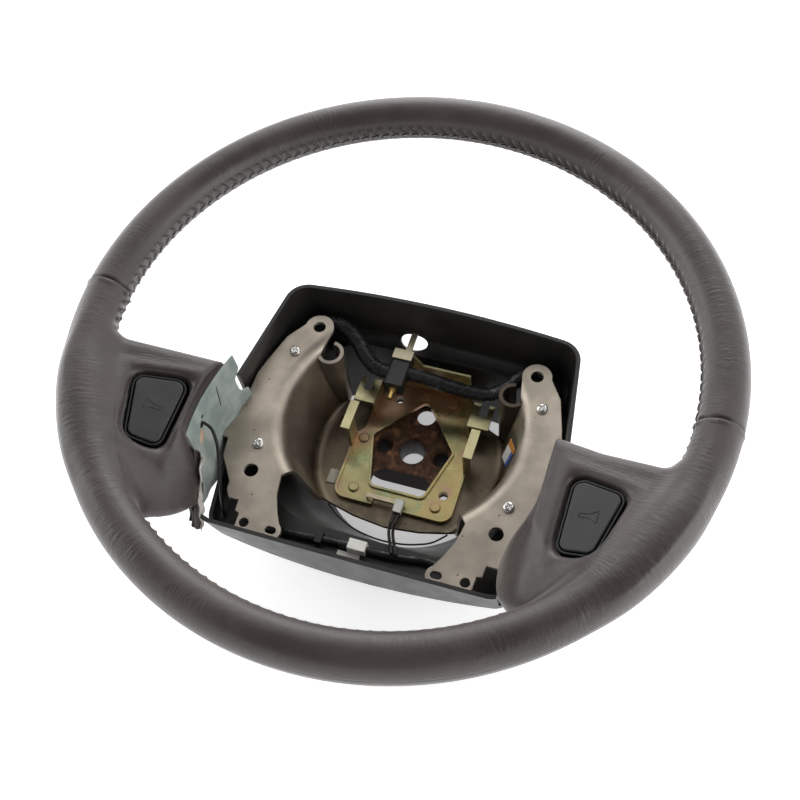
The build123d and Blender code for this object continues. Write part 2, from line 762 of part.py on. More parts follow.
def contact_plate():
    outline = plate_outline() - window_outline(0)
    plate = extrude(outline, PLATE)
    front_half = Pos(0, PLATE_FRONT) * Rectangle(FAR, 2 * (FLANGE_LOW - PLATE_FRONT))
    edge_lip = rim_of(plate_outline()) & front_half
    window_lip = window_outline(PLATE) - window_outline(0)
    plate += extrude(edge_lip, PLATE + PLATE_LIP)
    plate += extrude(window_lip, PLATE + PLATE_LIP)
    plate = Pos(0, 0, FLOOR_TOP) * plate
    tab = slotted_tab()
    plate += [tab, Pos(TAB_SHIFT, 0, 0) * mirrored(tab), upstand(), *pair(side_flange())]
    holes = [peg(place, RIVET_HOLE_D, FLOOR_TOP, PLATE_TOP) for place in RIVETS]
    notch_left, notch_right = PLATE_NOTCH
    notch = block((notch_left, PLATE_FRONT, FLOOR_TOP), (notch_right, PLATE_NOTCH_Y, PLATE_TOP + PLATE_LIP))
    return plate - holes - floor_holes(FLOOR_TOP, PLATE_TOP) - notch


def upstand():
    """Wall at the back edge of the plate, with its left end raised to carry the block's bracket."""
    left = BLOCK_X + BLOCK_WIDTH / 2 + LAY_GAP
    section = face_of(
        (left, PLATE_TOP),
        (UPSTAND_RIGHT, PLATE_TOP),
        (UPSTAND_RIGHT, UPSTAND_Z),
        (UPSTAND_BEND, UPSTAND_Z),
        (left, UPSTAND_Z + UPSTAND_HORN),
    )
    return along_y(section, PLATE_BACK - PLATE, PLATE_BACK)


def plate_rivets():
    """Domed rivets through the plate and the floor of the dish."""
    rivets = []
    for place in RIVETS:
        head = peg(place, RIVET_HEAD_D, PLATE_TOP, PLATE_TOP + RIVET_HEAD)
        head = fillet(head.edges().sort_by(Axis.Z)[-1], RIVET_CROWN)
        rivets.append(head + peg(place, RIVET_D, HUB_HEIGHT, PLATE_TOP))
    return Compound(children=rivets)


def ear_screws():
    """Pan-head screws that hold the back cover under the ears."""
    screws = []
    for place in SCREWS:
        head = peg(place, SCREW_HEAD_D, EAR_TOP, EAR_TOP + SCREW_HEAD)
        head = fillet(head.edges().sort_by(Axis.Z)[-1], SCREW_CROWN)
        socket = RegularPolygon(SCREW_SOCKET / 2, 6)
        head -= Pos(*place, EAR_TOP + SCREW_HEAD / 2) * extrude(socket, SCREW_HEAD)
        screws += pair(head + peg(place, SCREW_D, EAR_TOP - SCREW_REACH, EAR_TOP))
    return Compound(children=screws)


# Back cover
def cover_outline(inset, belly):
    """Cover in plan, drawn in by the inset, with its front edge bowed out by the belly."""
    front_y = COVER_LOW_Y + belly
    corners = [(COVER_TOP_X, COVER_TOP_SIDE_Y), (COVER_SIDE_X, COVER_SIDE_Y), (COVER_LOW_X, front_y)]
    opposite = [(-x, y) for x, y in corners]
    back = ThreePointArc(opposite[0], (0, COVER_TOP_Y), corners[0])
    front = ThreePointArc(corners[-1], (0, COVER_LOW_Y), opposite[-1])
    right = Polyline(*corners)
    left = Polyline(*opposite)
    face = fillet(make_face([back, right, front, left]).vertices(), COVER_CORNER)
    return offset(face, -inset) if inset else face


def cover_solid(inset):
    """Bowl from the lip down to a smaller, bowed foot with a rounded edge."""
    bottom = COVER_FLOOR - COVER_WALL + inset
    draft = (COVER_LIP - bottom) * math.tan(math.radians(COVER_DRAFT))
    lip = Pos(0, 0, COVER_LIP) * cover_outline(inset, COVER_BOW)
    foot = Pos(0, 0, bottom) * cover_outline(inset + draft, COVER_BELLY)
    bowl = loft([lip, foot], ruled=True)
    return fillet(bowl.faces().sort_by(Axis.Z)[0].edges(), COVER_EDGE - inset)


def mouth_solid(grow, high):
    """Tapered plug in the shape of the mouth, from the base of the collar up."""
    width = 2 * (MOUTH_HALF + grow)
    height = MOUTH_TOP - MOUTH_LOW + 2 * grow
    outline = RectangleRounded(width, height, MOUTH_CORNER + grow)
    middle = (MOUTH_TOP + MOUTH_LOW) / 2
    return Pos(0, middle, high) * extrude(outline, COVER_BASE - high, taper=COLLAR_DRAFT)


def eyelet():
    """Oval punch through the rounded foot of the upper wall."""
    foot_y = COVER_TOP_Y - COVER_WALL
    punch = Pos(0, 0, -COVER_EDGE) * extrude(Ellipse(EYELET_L / 2, EYELET_W / 2), 2 * COVER_EDGE)
    corner = (EYELET_X, foot_y - COVER_EDGE / 2, COVER_FLOOR + COVER_EDGE / 4)
    return Pos(*corner) * Rot(EYELET_TILT, 0, 0) * punch


def back_cover():
    cover = cover_solid(0) - cover_solid(COVER_WALL)
    cover += mouth_solid(COVER_WALL, COVER_FLOOR)
    for place in SCREWS:
        cover += pair(peg(place, BOSS_D, COVER_FLOOR - COVER_WALL, EAR_UNDER))
    cover -= mouth_solid(0, COVER_FLOOR)
    for place in SCREWS:
        cover -= pair(peg(place, PILOT_D, EAR_TOP - SCREW_REACH - SHEET, EAR_UNDER))
    spoke_way = block((NOTCH_X, COVER_LOW_Y - COVER_WALL, NOTCH_Z), (FAR, NOTCH_TOP, FAR))
    return cover - pair(spoke_way) - eyelet()


# Pieces at the back of the dish
def block_bracket():
    """Upright strip on the back of the upstand, bent over the plug block, with a tongue to the rear."""
    left, right = BLOCK_X - BRACKET_WIDTH / 2, BLOCK_X + BRACKET_WIDTH / 2
    back, top = BLOCK_BACK + BRACKET, BLOCK_HIGH + BRACKET
    strip = block((left, BLOCK_BACK, FLOOR_TOP), (right, back, top))
    strip += block((left, BLOCK_BACK - BRACKET_OVER, BLOCK_HIGH), (right, back, top))
    tongue_half = TONGUE_WIDTH / 2
    tongue_x = BLOCK_X + TONGUE_SHIFT
    low = (tongue_x - tongue_half, back, BLOCK_HIGH)
    high = (tongue_x + tongue_half, back + TONGUE_LENGTH, top)
    return strip + block(low, high)


def plug_block():
    half = BLOCK_WIDTH / 2
    body = block((BLOCK_X - half, BLOCK_FRONT, BLOCK_LOW), (BLOCK_X + half, BLOCK_BACK, BLOCK_HIGH))
    return fillet(body.edges().filter_by(Axis.Y), BLOCK_EDGE)


def brass_terminal():
    """Collared pin that stands out of the front of the plug block."""
    collar = Pos(0, 0, PIN_COLLAR / 2) * Cylinder(PIN_COLLAR_D / 2, PIN_COLLAR)
    pin = Pos(0, 0, PIN_LENGTH / 2) * Cylinder(PIN_D / 2, PIN_LENGTH) + collar
    return Pos(BLOCK_X, BLOCK_FRONT, BLOCK_MIDDLE) * Rot(90, 0, 0) * pin


# Leads, with the plugs, clip and tags on them
BLOCK_LEFT = BLOCK_X - BLOCK_WIDTH / 2
BLOCK_RIGHT = BLOCK_X + BLOCK_WIDTH / 2
LEFT_HARNESS_FLOOR = COVER_FLOOR + LEFT_HARNESS_D / 2 + FIT
RIGHT_HARNESS_FLOOR = COVER_FLOOR + RIGHT_HARNESS_D / 2 + FIT
PLUG_LEFT = BLADE_LEFT + BLADE_LENGTH
PLUG_MIDDLE = PLUG_LEFT + PLUG_WIDTH / 2
PLUG_FRONT = BLADE_Y + BLADE_WIDTH / 2 - PLUG_LENGTH
BLADE_Z = PLATE_TOP + BLADE_LIFT
INLINE_LEFT = INLINE_X - INLINE_LENGTH / 2
INLINE_RIGHT = INLINE_X + INLINE_LENGTH / 2
INLINE_Y = -90.0

LEFT_HARNESS = [
    (BLOCK_LEFT, 32, BLOCK_MIDDLE),
    (-31, 32, BLOCK_MIDDLE),
    (-40, 37, 60),
    (-50, 47, 66),
    (-61, 52.5, 69.5),
    (-74.5, 54, 67),
    (-85, 45.5, 60.5),
    (-87, 33, LEFT_HARNESS_FLOOR),
]
RIGHT_HARNESS = [
    (BLOCK_RIGHT, 34, BLOCK_MIDDLE),
    (-1, 34, BLOCK_MIDDLE),
    (15, 35, 53),
    (30, 35, 51.5),
    (44, 35, 53),
    (55, 41, 60),
    (62, 48.5, 65),
    (71.5, 54.5, 65),
    (82.5, 46.5, 60.5),
    (86.5, 34, RIGHT_HARNESS_FLOOR),
]
LEFT_BRANCH = [
    (-64, -94.5, BRANCH_Z),
    (-49, -92.2, BRANCH_Z),
    (-35, -91.6, BRANCH_Z),
    (-19, INLINE_Y, BRANCH_Z),
    (INLINE_LEFT, INLINE_Y, BRANCH_Z),
]
RIGHT_BRANCH = [
    (INLINE_RIGHT, INLINE_Y, BRANCH_Z),
    (14, INLINE_Y, BRANCH_Z),
    (26, -88.8, BRANCH_Z),
    (38, -86.6, BRANCH_Z),
    (50, -88, BRANCH_Z),
]
PLUG_LEAD = [
    (0, 0, 0),
    (0, -7, 0),
    (1.5, -14, 0.155),
    (5, -22, 0.5),
    (9.5, -31, 0.855),
    (14, -40, 1),
]
HORN_LEAD = [
    (-104.1, -60, 108),
    (-98.5, -61.5, 106.5),
    (-94, -67, 101),
    (-91.5, -74.5, 92),
    (-90, -83, 81),
    (-88, -91, 69),
    (-86, -95, 60),
]
FRONT_WIRE = [
    (-40, -52),
    (-31, -59),
    (-17, -65),
    (0, -67.5),
    (17, -65.8),
    (32, -60.5),
    (40, -52),
]


def plug_leads():
    """Two leads side by side from the front of the white plug up to the lower harness."""
    rise = BRANCH_Z + LEAD_OVER - BLADE_Z
    leads = []
    for side in (-1, 1):
        start_x = PLUG_MIDDLE + side * (LEAD_D / 2 + LAY_GAP)
        points = [(start_x + x, PLUG_FRONT + y, BLADE_Z + rise * share) for x, y, share in PLUG_LEAD]
        leads.append(lead(LEAD_D, points))
    return Compound(children=leads)


def front_wire():
    """Thin wire round the front of the dish, level with the middle of its floor."""
    middle = (HUB_HEIGHT + FLOOR_TOP) / 2
    return lead(WIRE_D, [(x, y, middle) for x, y in FRONT_WIRE])


def earth_blade():
    """Flat blade above the plate on a folded foot."""
    half = BLADE_WIDTH / 2
    top = BLADE_Z + BLADE_SHEET / 2
    blade = block((BLADE_LEFT, BLADE_Y - half, top - BLADE_SHEET), (PLUG_LEFT, BLADE_Y + half, top))
    heel = BLADE_LEFT + BLADE_SHEET
    return blade + block((BLADE_LEFT, BLADE_Y - half, PLATE_TOP), (heel, BLADE_Y + half, top))


def white_plug():
    low = (PLUG_LEFT, PLUG_FRONT, BLADE_Z - PLUG_HEIGHT / 2)
    high = (PLUG_LEFT + PLUG_WIDTH, PLUG_FRONT + PLUG_LENGTH, BLADE_Z + PLUG_HEIGHT / 2)
    body = block(low, high)
    return fillet(body.edges().filter_by(Axis.Y), PLUG_EDGE)


def harness_plug():
    """White plug in line with the lower harness, on the floor of the cover."""
    half = INLINE_SIDE / 2
    low = (INLINE_LEFT, INLINE_Y - half, COVER_FLOOR)
    high = (INLINE_RIGHT, INLINE_Y + half, COVER_FLOOR + INLINE_SIDE)
    return fillet(block(low, high).edges().filter_by(Axis.X), PLUG_EDGE)


def harness_clip():
    """Saddle over the lower harness, moulded flat to the floor of the cover."""
    clip_x, clip_y = CLIP_PLACE
    inside = BRANCH_D / 2 + LAY_GAP
    half = inside + CLIP_WALL
    low = (clip_x - CLIP_WIDTH / 2, clip_y - half, COVER_FLOOR)
    high = (clip_x + CLIP_WIDTH / 2, clip_y + half, BRANCH_Z + half)
    way = Pos(clip_x, clip_y, BRANCH_Z) * Rot(0, 90, 0) * Cylinder(inside, 2 * CLIP_WIDTH)
    return block(low, high) - way


def harness_tag():
    length, width, sheet = TAG_SIZE
    return Pos(*TAG_PLACE, COVER_FLOOR + sheet / 2) * Box(length, width, sheet)


def fibre_tab():
    """Fibre strip on the dish floor, against the left edge of the contact plate."""
    width, sheet = FIBRE_SIZE
    low = (FIBRE_WALL_GAP - DISH_FLOOR, FIBRE_Y - width / 2, FLOOR_TOP)
    return block(low, (-PLATE_HALF, FIBRE_Y + width / 2, FLOOR_TOP + sheet))


def right_label():
    """Paper strip beside the right wall of the dish, with one long edge against it."""
    sheet, width, height = LABEL_SIZE
    lean = math.atan2(DISH_MOUTH - DISH_FLOOR, EAR_TOP - FLOOR_TOP)
    wall = DISH_FLOOR + (LABEL_Z - FLOOR_TOP) * math.tan(lean)
    strip = Rot(0, math.degrees(lean), 0) * Rot(0, 0, LABEL_TWIST) * Box(sheet, width, height)
    stand_off = LAY_GAP + sheet + math.sin(math.radians(LABEL_TWIST)) * width / 2
    place = Pos(wall - stand_off, 0, LABEL_Z)
    return Pos(0, DISH_Y, 0) * Rot(0, 0, LABEL_TURN) * place * strip


def save(name, shape):
    """Write one node and print its solids and volume."""
    print(name, len(shape.solids()), round(shape.volume, 1))
    export_step(shape, f"parts/{name}.step")


def save_pair(name, shape):
    save(f"{name}_right", shape)
    save(f"{name}_left", mirrored(shape))


def build():
    os.makedirs("parts", exist_ok=True)
    save("rim_armature", rim_armature())
    save("rim_foam", rim_foam())
    save("upper_leather", upper_leather())
    save("lower_leather", lower_leather())
    save_pair("end_flap", end_flap())
    save_pair("horn_button", horn_button())
    save_pair("horn_switch", horn_switch())
    save_pair("horn_dome", horn_dome())
    save_pair("horn_contact", horn_contact())
    save("spoke_frame", spoke_frame())
    save("hub_boss", hub_boss())
    save("hub_flange", hub_flange())
    save("contact_plate", contact_plate())
    save("plate_rivets", plate_rivets())
    save("ear_screws", ear_screws())
    save("back_cover", back_cover())
    save("block_bracket", block_bracket())
    save("plug_block", plug_block())
    save("brass_terminal", brass_terminal())
    save("upper_harness_left", lead(LEFT_HARNESS_D, LEFT_HARNESS))
    save("upper_harness_right", lead(RIGHT_HARNESS_D, RIGHT_HARNESS))
    save("earth_blade", earth_blade())
    save("white_plug", white_plug())
    save("plug_leads", plug_leads())
    save("lower_harness_left", lead(BRANCH_D, LEFT_BRANCH))
    save("lower_harness_right", lead(BRANCH_D, RIGHT_BRANCH))
    save("harness_plug", harness_plug())
    save("harness_clip", harness_clip())
    save("harness_tag", harness_tag())
    save("fibre_tab", fibre_tab())
    save("right_label", right_label())
    save("horn_lead", lead(LEAD_D, HORN_LEAD))
    save("front_wire", front_wire())


build()
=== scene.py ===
"""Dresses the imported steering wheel: leather skins, stitching, small pieces, finishes and a studio.

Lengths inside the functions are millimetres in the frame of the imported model, and meshes are in metres.
Fields are distances that are negative inside a shape, so the larger of two is what the shapes share.
"""
import json
import math

import bmesh
import bpy
import numpy as np
from bpy.props import FloatProperty, FloatVectorProperty, PointerProperty
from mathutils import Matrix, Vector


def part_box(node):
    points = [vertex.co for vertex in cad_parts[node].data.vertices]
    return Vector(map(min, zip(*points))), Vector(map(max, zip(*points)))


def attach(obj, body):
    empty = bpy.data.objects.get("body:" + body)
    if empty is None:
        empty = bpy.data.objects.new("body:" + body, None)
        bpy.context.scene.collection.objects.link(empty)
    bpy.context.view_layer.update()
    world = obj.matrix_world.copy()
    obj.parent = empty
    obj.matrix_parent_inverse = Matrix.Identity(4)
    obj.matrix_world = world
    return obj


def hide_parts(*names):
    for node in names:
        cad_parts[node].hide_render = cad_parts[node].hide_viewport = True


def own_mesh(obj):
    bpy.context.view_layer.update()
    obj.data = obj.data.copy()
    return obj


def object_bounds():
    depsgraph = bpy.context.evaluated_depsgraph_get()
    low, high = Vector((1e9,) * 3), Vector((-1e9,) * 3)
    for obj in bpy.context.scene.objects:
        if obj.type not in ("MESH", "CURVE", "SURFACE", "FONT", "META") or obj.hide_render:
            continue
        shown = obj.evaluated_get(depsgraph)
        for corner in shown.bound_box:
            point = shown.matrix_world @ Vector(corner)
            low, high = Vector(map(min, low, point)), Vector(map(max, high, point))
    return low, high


bl_info = {
    "name": "Steering wheel dressing",
    "version": (1, 0, 0),
    "blender": (4, 5, 0),
    "location": "3D View > Sidebar > Wheel",
    "description": "Leather, stitching, small pieces, finishes and studio for a car steering wheel",
    "category": "Object",
}

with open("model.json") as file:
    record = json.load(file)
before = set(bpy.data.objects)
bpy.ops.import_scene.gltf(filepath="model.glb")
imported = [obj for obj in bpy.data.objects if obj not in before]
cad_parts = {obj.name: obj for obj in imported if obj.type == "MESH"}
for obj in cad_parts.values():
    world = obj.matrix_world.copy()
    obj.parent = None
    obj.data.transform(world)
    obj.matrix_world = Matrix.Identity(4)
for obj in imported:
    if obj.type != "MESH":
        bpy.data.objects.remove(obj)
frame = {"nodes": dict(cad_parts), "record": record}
CAD_BOX = [list(corner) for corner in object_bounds()]
MM = 0.001
WELD = 0.001
ENDLESS = 9000.0


def node_box(name):
    """Lowest and highest corner of a CAD node, in millimetres."""
    return [np.array(corner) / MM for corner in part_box(name)]


# Rim, read from the frame, and the groove along its outer side
RIM_LOW, RIM_HIGH = node_box("upper_leather")
TUBE = (RIM_HIGH[2] - RIM_LOW[2]) / 2
RIM_R = RIM_HIGH[0] - TUBE
RIM_Z = RIM_LOW[2] + TUBE
GROOVE_RISE = 3.1
GROOVE_HALF = 0.5
GROOVE_END = (-90.0, -70.0)

# End seams, at nine and three o'clock, where a pair is a size and a width
SEAM_DROP = math.radians(1.5)
SEAM_TUCK = (1.1, 1.0)
# Shade painted into the upper skin along the end seams
SEAM_SHADE = (0.8, 0.7)
SEAM_RIDGE = 0.7
RIDGE_PLACE = 1.6
RIDGE_WIDTH = 1.3
SEAM_GAP = 0.4
SEAM_ROUND = 1.6

# Stitching on the inner side: degrees round the tube, shares of a pleat or of its depth, or millimetres
STITCH_SIDE = 191.0
STITCH_WIDTH = 2.8
STITCH_DEPTH = 0.7
STITCH_FADE = 2.5
PLEAT_BAND = 25.0
PLEAT_SLANT = 46.0
PLEAT_CREST = 0.78
PLEAT_SWELL = 1.3
PLEAT_LEVEL = 0.6
PLEAT_GAP = 2.9
THREAD = 0.45
THREAD_START = 0.12
THREAD_LENGTH = 0.6
THREAD_SLANT = 1.2
THREAD_RISE = 0.12

# Steps of the upper skin: round the wheel, then from, to and count of each stretch round the tube
UPPER_RINGS = 1240
UPPER_SPANS = [(-100, 156, 26), (156, 226, 38), (226, 260, 8)]

# Lattice of the lower skin, which ends in Y just past the end seams
LATTICE = 1.6
LATTICE_MARGIN = 3.0
LATTICE_TOP = 2.0

# Spoke pads, on the right side
PAD_TILT = math.radians(16.2)
PAD_LEVEL = 128.0
PAD_LEVEL_X = 114.0
PAD_UPPER_EDGE = [(72.6, -19.0), (181.8, -36.0)]
PAD_LOWER_EDGE = [(114.2, -141.2), (101.0, -128.0)]
PAD_END = [(99.0, 70.0), (104.5, 121.0)]
PAD_UNDER = [(112.0, 70.0), (172.0, 118.0)]
PAD_FOOT = 70.0
END_BOW = 3.0
END_MIDDLE = -58.0
END_SPAN = 28.0
END_STRETCH = (-88.0, -18.0)
TOE_EDGE = [(103.5, -78.0), (89.5, -98.0)]
TOE_TIP = 1.5
TOE_OUT = 108.0
TOE_PLANE = (2.44, 0.154, -106.0)
TOE_PROUD = 2.0
TOE_SUNK = 1.0

# Widths over which the faces of a spoke run into each other
UPPER_ROUND = 9.0
LOWER_ROUND = 12.0
END_ROUND = 1.5
END_SOFT_FROM = -76.0
END_SOFTER = 14.0
UNDER_ROUND = 6.0
FOOT_ROUND = 8.0
TOE_ROUND = 5.0
TOE_CREST_ROUND = 16.0
TOE_BACK_ROUND = 6.0
TOE_TOP_ROUND = 4.0
TOE_FILLET = 6.0
INNER_ROUND = 3.0
RIM_BLEND = 9.0
RIM_BLEND_MORE = 15.0
SPOKE_MIDDLE = -92.0
SPOKE_SPREAD = 42.0

# Right spoke's end, which laps over the ear, where a run is its start and length
LAP_REACH = 6.5
LAP_LIFT = 3.0
LAP_LIFT_RUN = (125.0, 25.0)
LAP_FOOT = 79.0
LAP_FOOT_RUN = (102.0, 4.0)
LAP_TOE = (5.0, 17.0)

# Horn buttons, in the tilted plane of the pad
BUTTON_PLACE = (126.0, -70.7)
BUTTON_CORNERS = [(16.2, 15.7), (-11.5, 23.1), (-11.5, -19.3), (6.9, -19.3)]
BUTTON_SINK = 15.5
BUTTON_ROOM = 3.8
BUTTON_ROUND = 5.0
ROOM_ROUND = 12.0
LIP_ROUND = 3.6
LIP_SWELL = 1.4
LIP_PLACE = 3.0
LIP_WIDTH = 4.5
DOME_BASE = -14.0
DOME_OUTLINE = [(6.0, 0.0), (6.0, 0.8), (3.0, 4.4), (0.0, 4.4), (0.0, 3.6), (2.6, 3.6), (4.4, 0.0)]
SIGN_BELL = [(-5, 1.1), (-1, 1.1), (1.5, 1.5), (3.4, 2.5), (4.6, 3.6), (5.0, 3.3)]
SIGN_UP = 2.0
SIGN_BAR = (0.34, 0.25)
SIGN_LIFT = 0.05

# Backing flap at the left spoke's end, in length and height, with middle, half sizes and turn of each mark
FLAP_REACH = (-17.5, -104.0)
FLAP_TOP = 119.5
FLAP_FALL = 1.05
FLAP_FOOT = (64.0, 72.0)
FLAP_FOOT_RUN = (-70.0, 29.0)
FLAP_NOTCH = (96.0, 8.5, 6.5)
FLAP_WAVES = [(0.9, 6.5, 0), (0.5, 3.1, 4)]
FLAP_OFF = 0.9
FLAP_THICK = 0.8
FLAP_GRID = (90, 44)
FLAP_TEAR = ((-66, 101.5), (4.6, 3.0), 38)
# The slit and the eyes are drawn as painted shade, not cut through the sheet
FLAP_SLIT = ((-39.5, 105.5), (0.55, 10.5), -13)
FLAP_EYES = [((-61, 107), (2.6, 2.2), 0), ((-57.5, 110), (1.5, 1.2), 0)]

# Torn strip of leather by the flap's foot, whose folds have a size and a rate across and along it
STRIP_ROUTE = [(-98, -81, 114), (-96, -91, 106), (-94, -100, 98), (-92.5, -108, 90), (-92, -114, 82.5)]
STRIP_ACROSS = (0.88, -0.3, -0.37)
STRIP_HALF = 5.0
STRIP_FOLDS = [(1.5, 0.8, 5), (0.7, 1.7, -11), (0.5, 0, 23)]
STRIP_RAGGED = (0.12, 31)
STRIP_THICK = 0.9
STRIP_PALE = (2.6, 1.2)
STRIP_GRID = (60, 28)

# Collar under the tray, whose front draws in to a round base
MOUTH_HALF = (76.0, 67.0)
MOUTH_MIDDLE = -15.0
MOUTH_CORNER = 36.0
MOUTH_HIGH = 52.6
MOUTH_BASE = -1.7
MOUTH_DRAFT = 3.9
MOUTH_SEARCH = (20.0, 140.0)
BASE_R = 59.5
COLLAR_TURN = (190.0, 350.0)
COLLAR_EASE = 28.0
COLLAR_OFF = 0.5
COLLAR_WALL = 1.2
COLLAR_GRID = (130, 16)

# Bore, whose rings each have a height and the share of a tooth that stands there
BORE_R = 9.0
BORE_TEETH = 33
BORE_OFF = 0.05
BORE_BEHIND = 0.3
TOOTH_DEPTH = 0.8
TOOTH_FLANK = 0.9
TOOTH_STEPS = 8
BORE_RINGS = [(0.2, 0), (0.9, 1), (17.2, 1), (18.4, 0)]

# Ear screws, with the half width and half length of a recess bar and the width of their edges
SCREW_PLACES = [(80.9, 19.5), (78.8, -50.2), (-80.9, 19.5), (-78.8, -50.2)]
SCREW_TURNS = [0.4, 1.0, 0.2, 0.7]
SCREW_R = 3.4
HEAD_HIGH = 2.2
HEAD_FALL = 0.9
HEAD_FOOT = 0.2
RECESS_BAR = (0.62, 2.3)
RECESS_EDGE = (0.25, 0.6)
RECESS_DEEP = 1.2

# Rolled edges in the frame's ears, with the share of painted shade on each side
ROLL_PLACE = (60.5, 27.5)
ROLL_R = 10.5
ROLL_SHADES = ((-1, 0.3), (1, 0.9))

# Stretches of X, Y or Z over which a finish changes, and how far the zinc's tones drift
# Heights over which the painted shade fades out of the rolled edges
ROLL_PAINTED_SHADE = (73.5, 75.2)
DISH_BROWN = (24.0, 60.0)
# Heights over which the painted shade fades out of the hub, below its face
HUB_PAINTED_SHADE = (16.5, 19.2)
ZINC_DRIFT = 50.0
ZINC_GOLD = (8.0, 32.0)
ZINC_COPPER = (12.0, 36.0)
ZINC_TABS = (26.0, 30.0)
LABEL_BLUE = np.array([-1.8, -1.2])
LABEL_HEAD = np.array([5.5, 6.5])

# Camera, from the lines of the rim in the photograph
CAMERA_PLACE = (0.15033, -0.33607, 0.67854)
CAMERA_TURN = (31.5731, 4.0908, 17.9966)
CAMERA_LENS = 51.49
CAMERA_SENSOR = 36

# Studio, in metres
FLOOR_HALF = 4.0
FLOOR_GLOW = 0.45
LAMP_SIZE = 1.2
LAMPS = {
    "back_softbox": ((-0.3, 1.7, 0.8), 1.5),
    "right_softbox": ((1.7, -0.2, 0.7), 1.2),
    "left_softbox": ((-1.7, 0.1, 0.7), 1.2),
}
CARD_AIM = (0.0, -0.36, 0.93)
CARD_ACROSS = (1.0, 0.0, 0.0)
CARD_UP = (0.0, 0.93, 0.36)
CARD_AWAY = 2.4
CARD_R = 2.3
CARD_SIDES = 48
CARD_GREY = 0.04


# Settings that a user would change
class LeatherSettings(bpy.types.PropertyGroup):
    """Leather and its stitching"""

    colour: FloatVectorProperty(
        name="Leather colour", description="Base colour of the rim and spoke leather",
        subtype="COLOR", size=3, min=0, max=1, default=(0.044, 0.033, 0.031),
    )
    pitch: FloatProperty(
        name="Stitch pitch", description="Distance between stitches along the rim, in millimetres",
        min=3, max=12, default=7.0,
    )
    pucker: FloatProperty(
        name="Pucker depth", description="Depth of the folds that the stitches pull, in millimetres",
        min=0, max=3, default=2.0,
    )


class MetalSettings(bpy.types.PropertyGroup):
    """Colours of the metal pieces"""

    steel: FloatVectorProperty(
        name="Frame steel", description="Colour of the plated spoke frame",
        subtype="COLOR", size=3, min=0, max=1, default=(0.48, 0.42, 0.35),
    )
    zinc: FloatVectorProperty(
        name="Yellow zinc", description="Main colour of the contact plate",
        subtype="COLOR", size=3, min=0, max=1, default=(0.50, 0.44, 0.22),
    )
    rust: FloatVectorProperty(
        name="Rust", description="Colour of the hub's rust",
        subtype="COLOR", size=3, min=0, max=1, default=(0.15, 0.068, 0.036),
    )


class StageSettings(bpy.types.PropertyGroup):
    """Floor and light of the studio"""

    floor: FloatVectorProperty(
        name="Floor colour", description="Colour of the studio floor",
        subtype="COLOR", size=3, min=0, max=1, default=(0.92, 0.92, 0.92),
    )
    fill: FloatProperty(name="Fill light", description="Strength of the light from all round", default=1.6)
    key: FloatProperty(name="Key light", description="Power of the large lamps", default=6.0, unit="POWER")


# Mesh helpers
def mesh_object(name, points, faces, finish, body="wheel", slot=None, weld=False, uv=None, fold=None):
    """Object at the origin from points in millimetres and quads, riding on a body of the frame.

    The second UV coordinate runs once round the tube, the fold attribute marks where shade is painted into
    folds and seams, and on the torn strip its pale edge, and a weld joins the points that meet at poles and
    closed ends.
    """
    mesh = bpy.data.meshes.new(name)
    mesh.from_pydata((np.asarray(points, float) * MM).tolist(), [], np.asarray(faces).tolist())
    mesh.polygons.foreach_set("use_smooth", np.ones(len(mesh.polygons), bool))
    if uv is not None:
        corner = np.asarray(uv, float)[np.asarray(faces)]
        round_tube = 2 * math.pi * TUBE
        behind = corner[..., 1].max(1, keepdims=True) - corner[..., 1] > round_tube / 2
        corner[..., 1] += round_tube * behind
        mesh.uv_layers.new(name="UVMap").data.foreach_set("uv", (corner * MM).ravel())
    if fold is not None:
        mesh.attributes.new("fold", "FLOAT", "POINT").data.foreach_set("value", np.asarray(fold, float))
    if weld:
        joined_mesh = bmesh.new()
        joined_mesh.from_mesh(mesh)
        bmesh.ops.remove_doubles(joined_mesh, verts=joined_mesh.verts, dist=WELD * MM)
        joined_mesh.to_mesh(mesh)
        joined_mesh.free()
    mesh.materials.append(finish)
    mesh.update()
    piece = bpy.data.objects.new(name, mesh)
    bpy.context.scene.collection.objects.link(piece)
    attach(piece, body)
    return piece


def grid_faces(rows, columns, wrap_rows=False, wrap_columns=False):
    """Quads of a grid stored row by row, joined end to end where it wraps."""
    row = np.arange(rows if wrap_rows else rows - 1)[:, None]
    column = np.arange(columns if wrap_columns else columns - 1)[None, :]
    next_row = (row + 1) % rows
    next_column = (column + 1) % columns
    corners = [row * columns + column, row * columns + next_column]
    corners += [next_row * columns + next_column, next_row * columns + column]
    return np.stack(np.broadcast_arrays(*corners), -1).reshape(-1, 4)


def line_field(x, y, start, end):
    """Distance to the left of a line from start to end, negative on its right."""
    run = np.subtract(end, start)
    run = run / np.hypot(*run)
    return run[0] * (y - start[1]) - run[1] * (x - start[0])


def joined(a, b, blend):
    """Smaller of two fields, with the corner between them filled over the blend width."""
    share = np.clip(0.5 + (b - a) / (2 * blend), 0, 1)
    return b + (a - b) * share - blend * share * (1 - share)


def shared(a, b, blend):
    """Larger of two fields, with the edge between them rounded over the blend width."""
    return -joined(-a, -b, blend)


def fading(distance, size, width):
    """Bell of a size and a width about the place where a distance is zero."""
    return size * np.exp(-((distance / width) ** 2))


# Leather skins
def rim_point(turn, angle, radius):
    """Point at an angle round the tube and a turn round the wheel: a circle carried round the axle."""
    reach = RIM_R + radius * np.cos(angle)
    return np.stack([reach * np.cos(turn), reach * np.sin(turn), RIM_Z + radius * np.sin(angle)], -1)


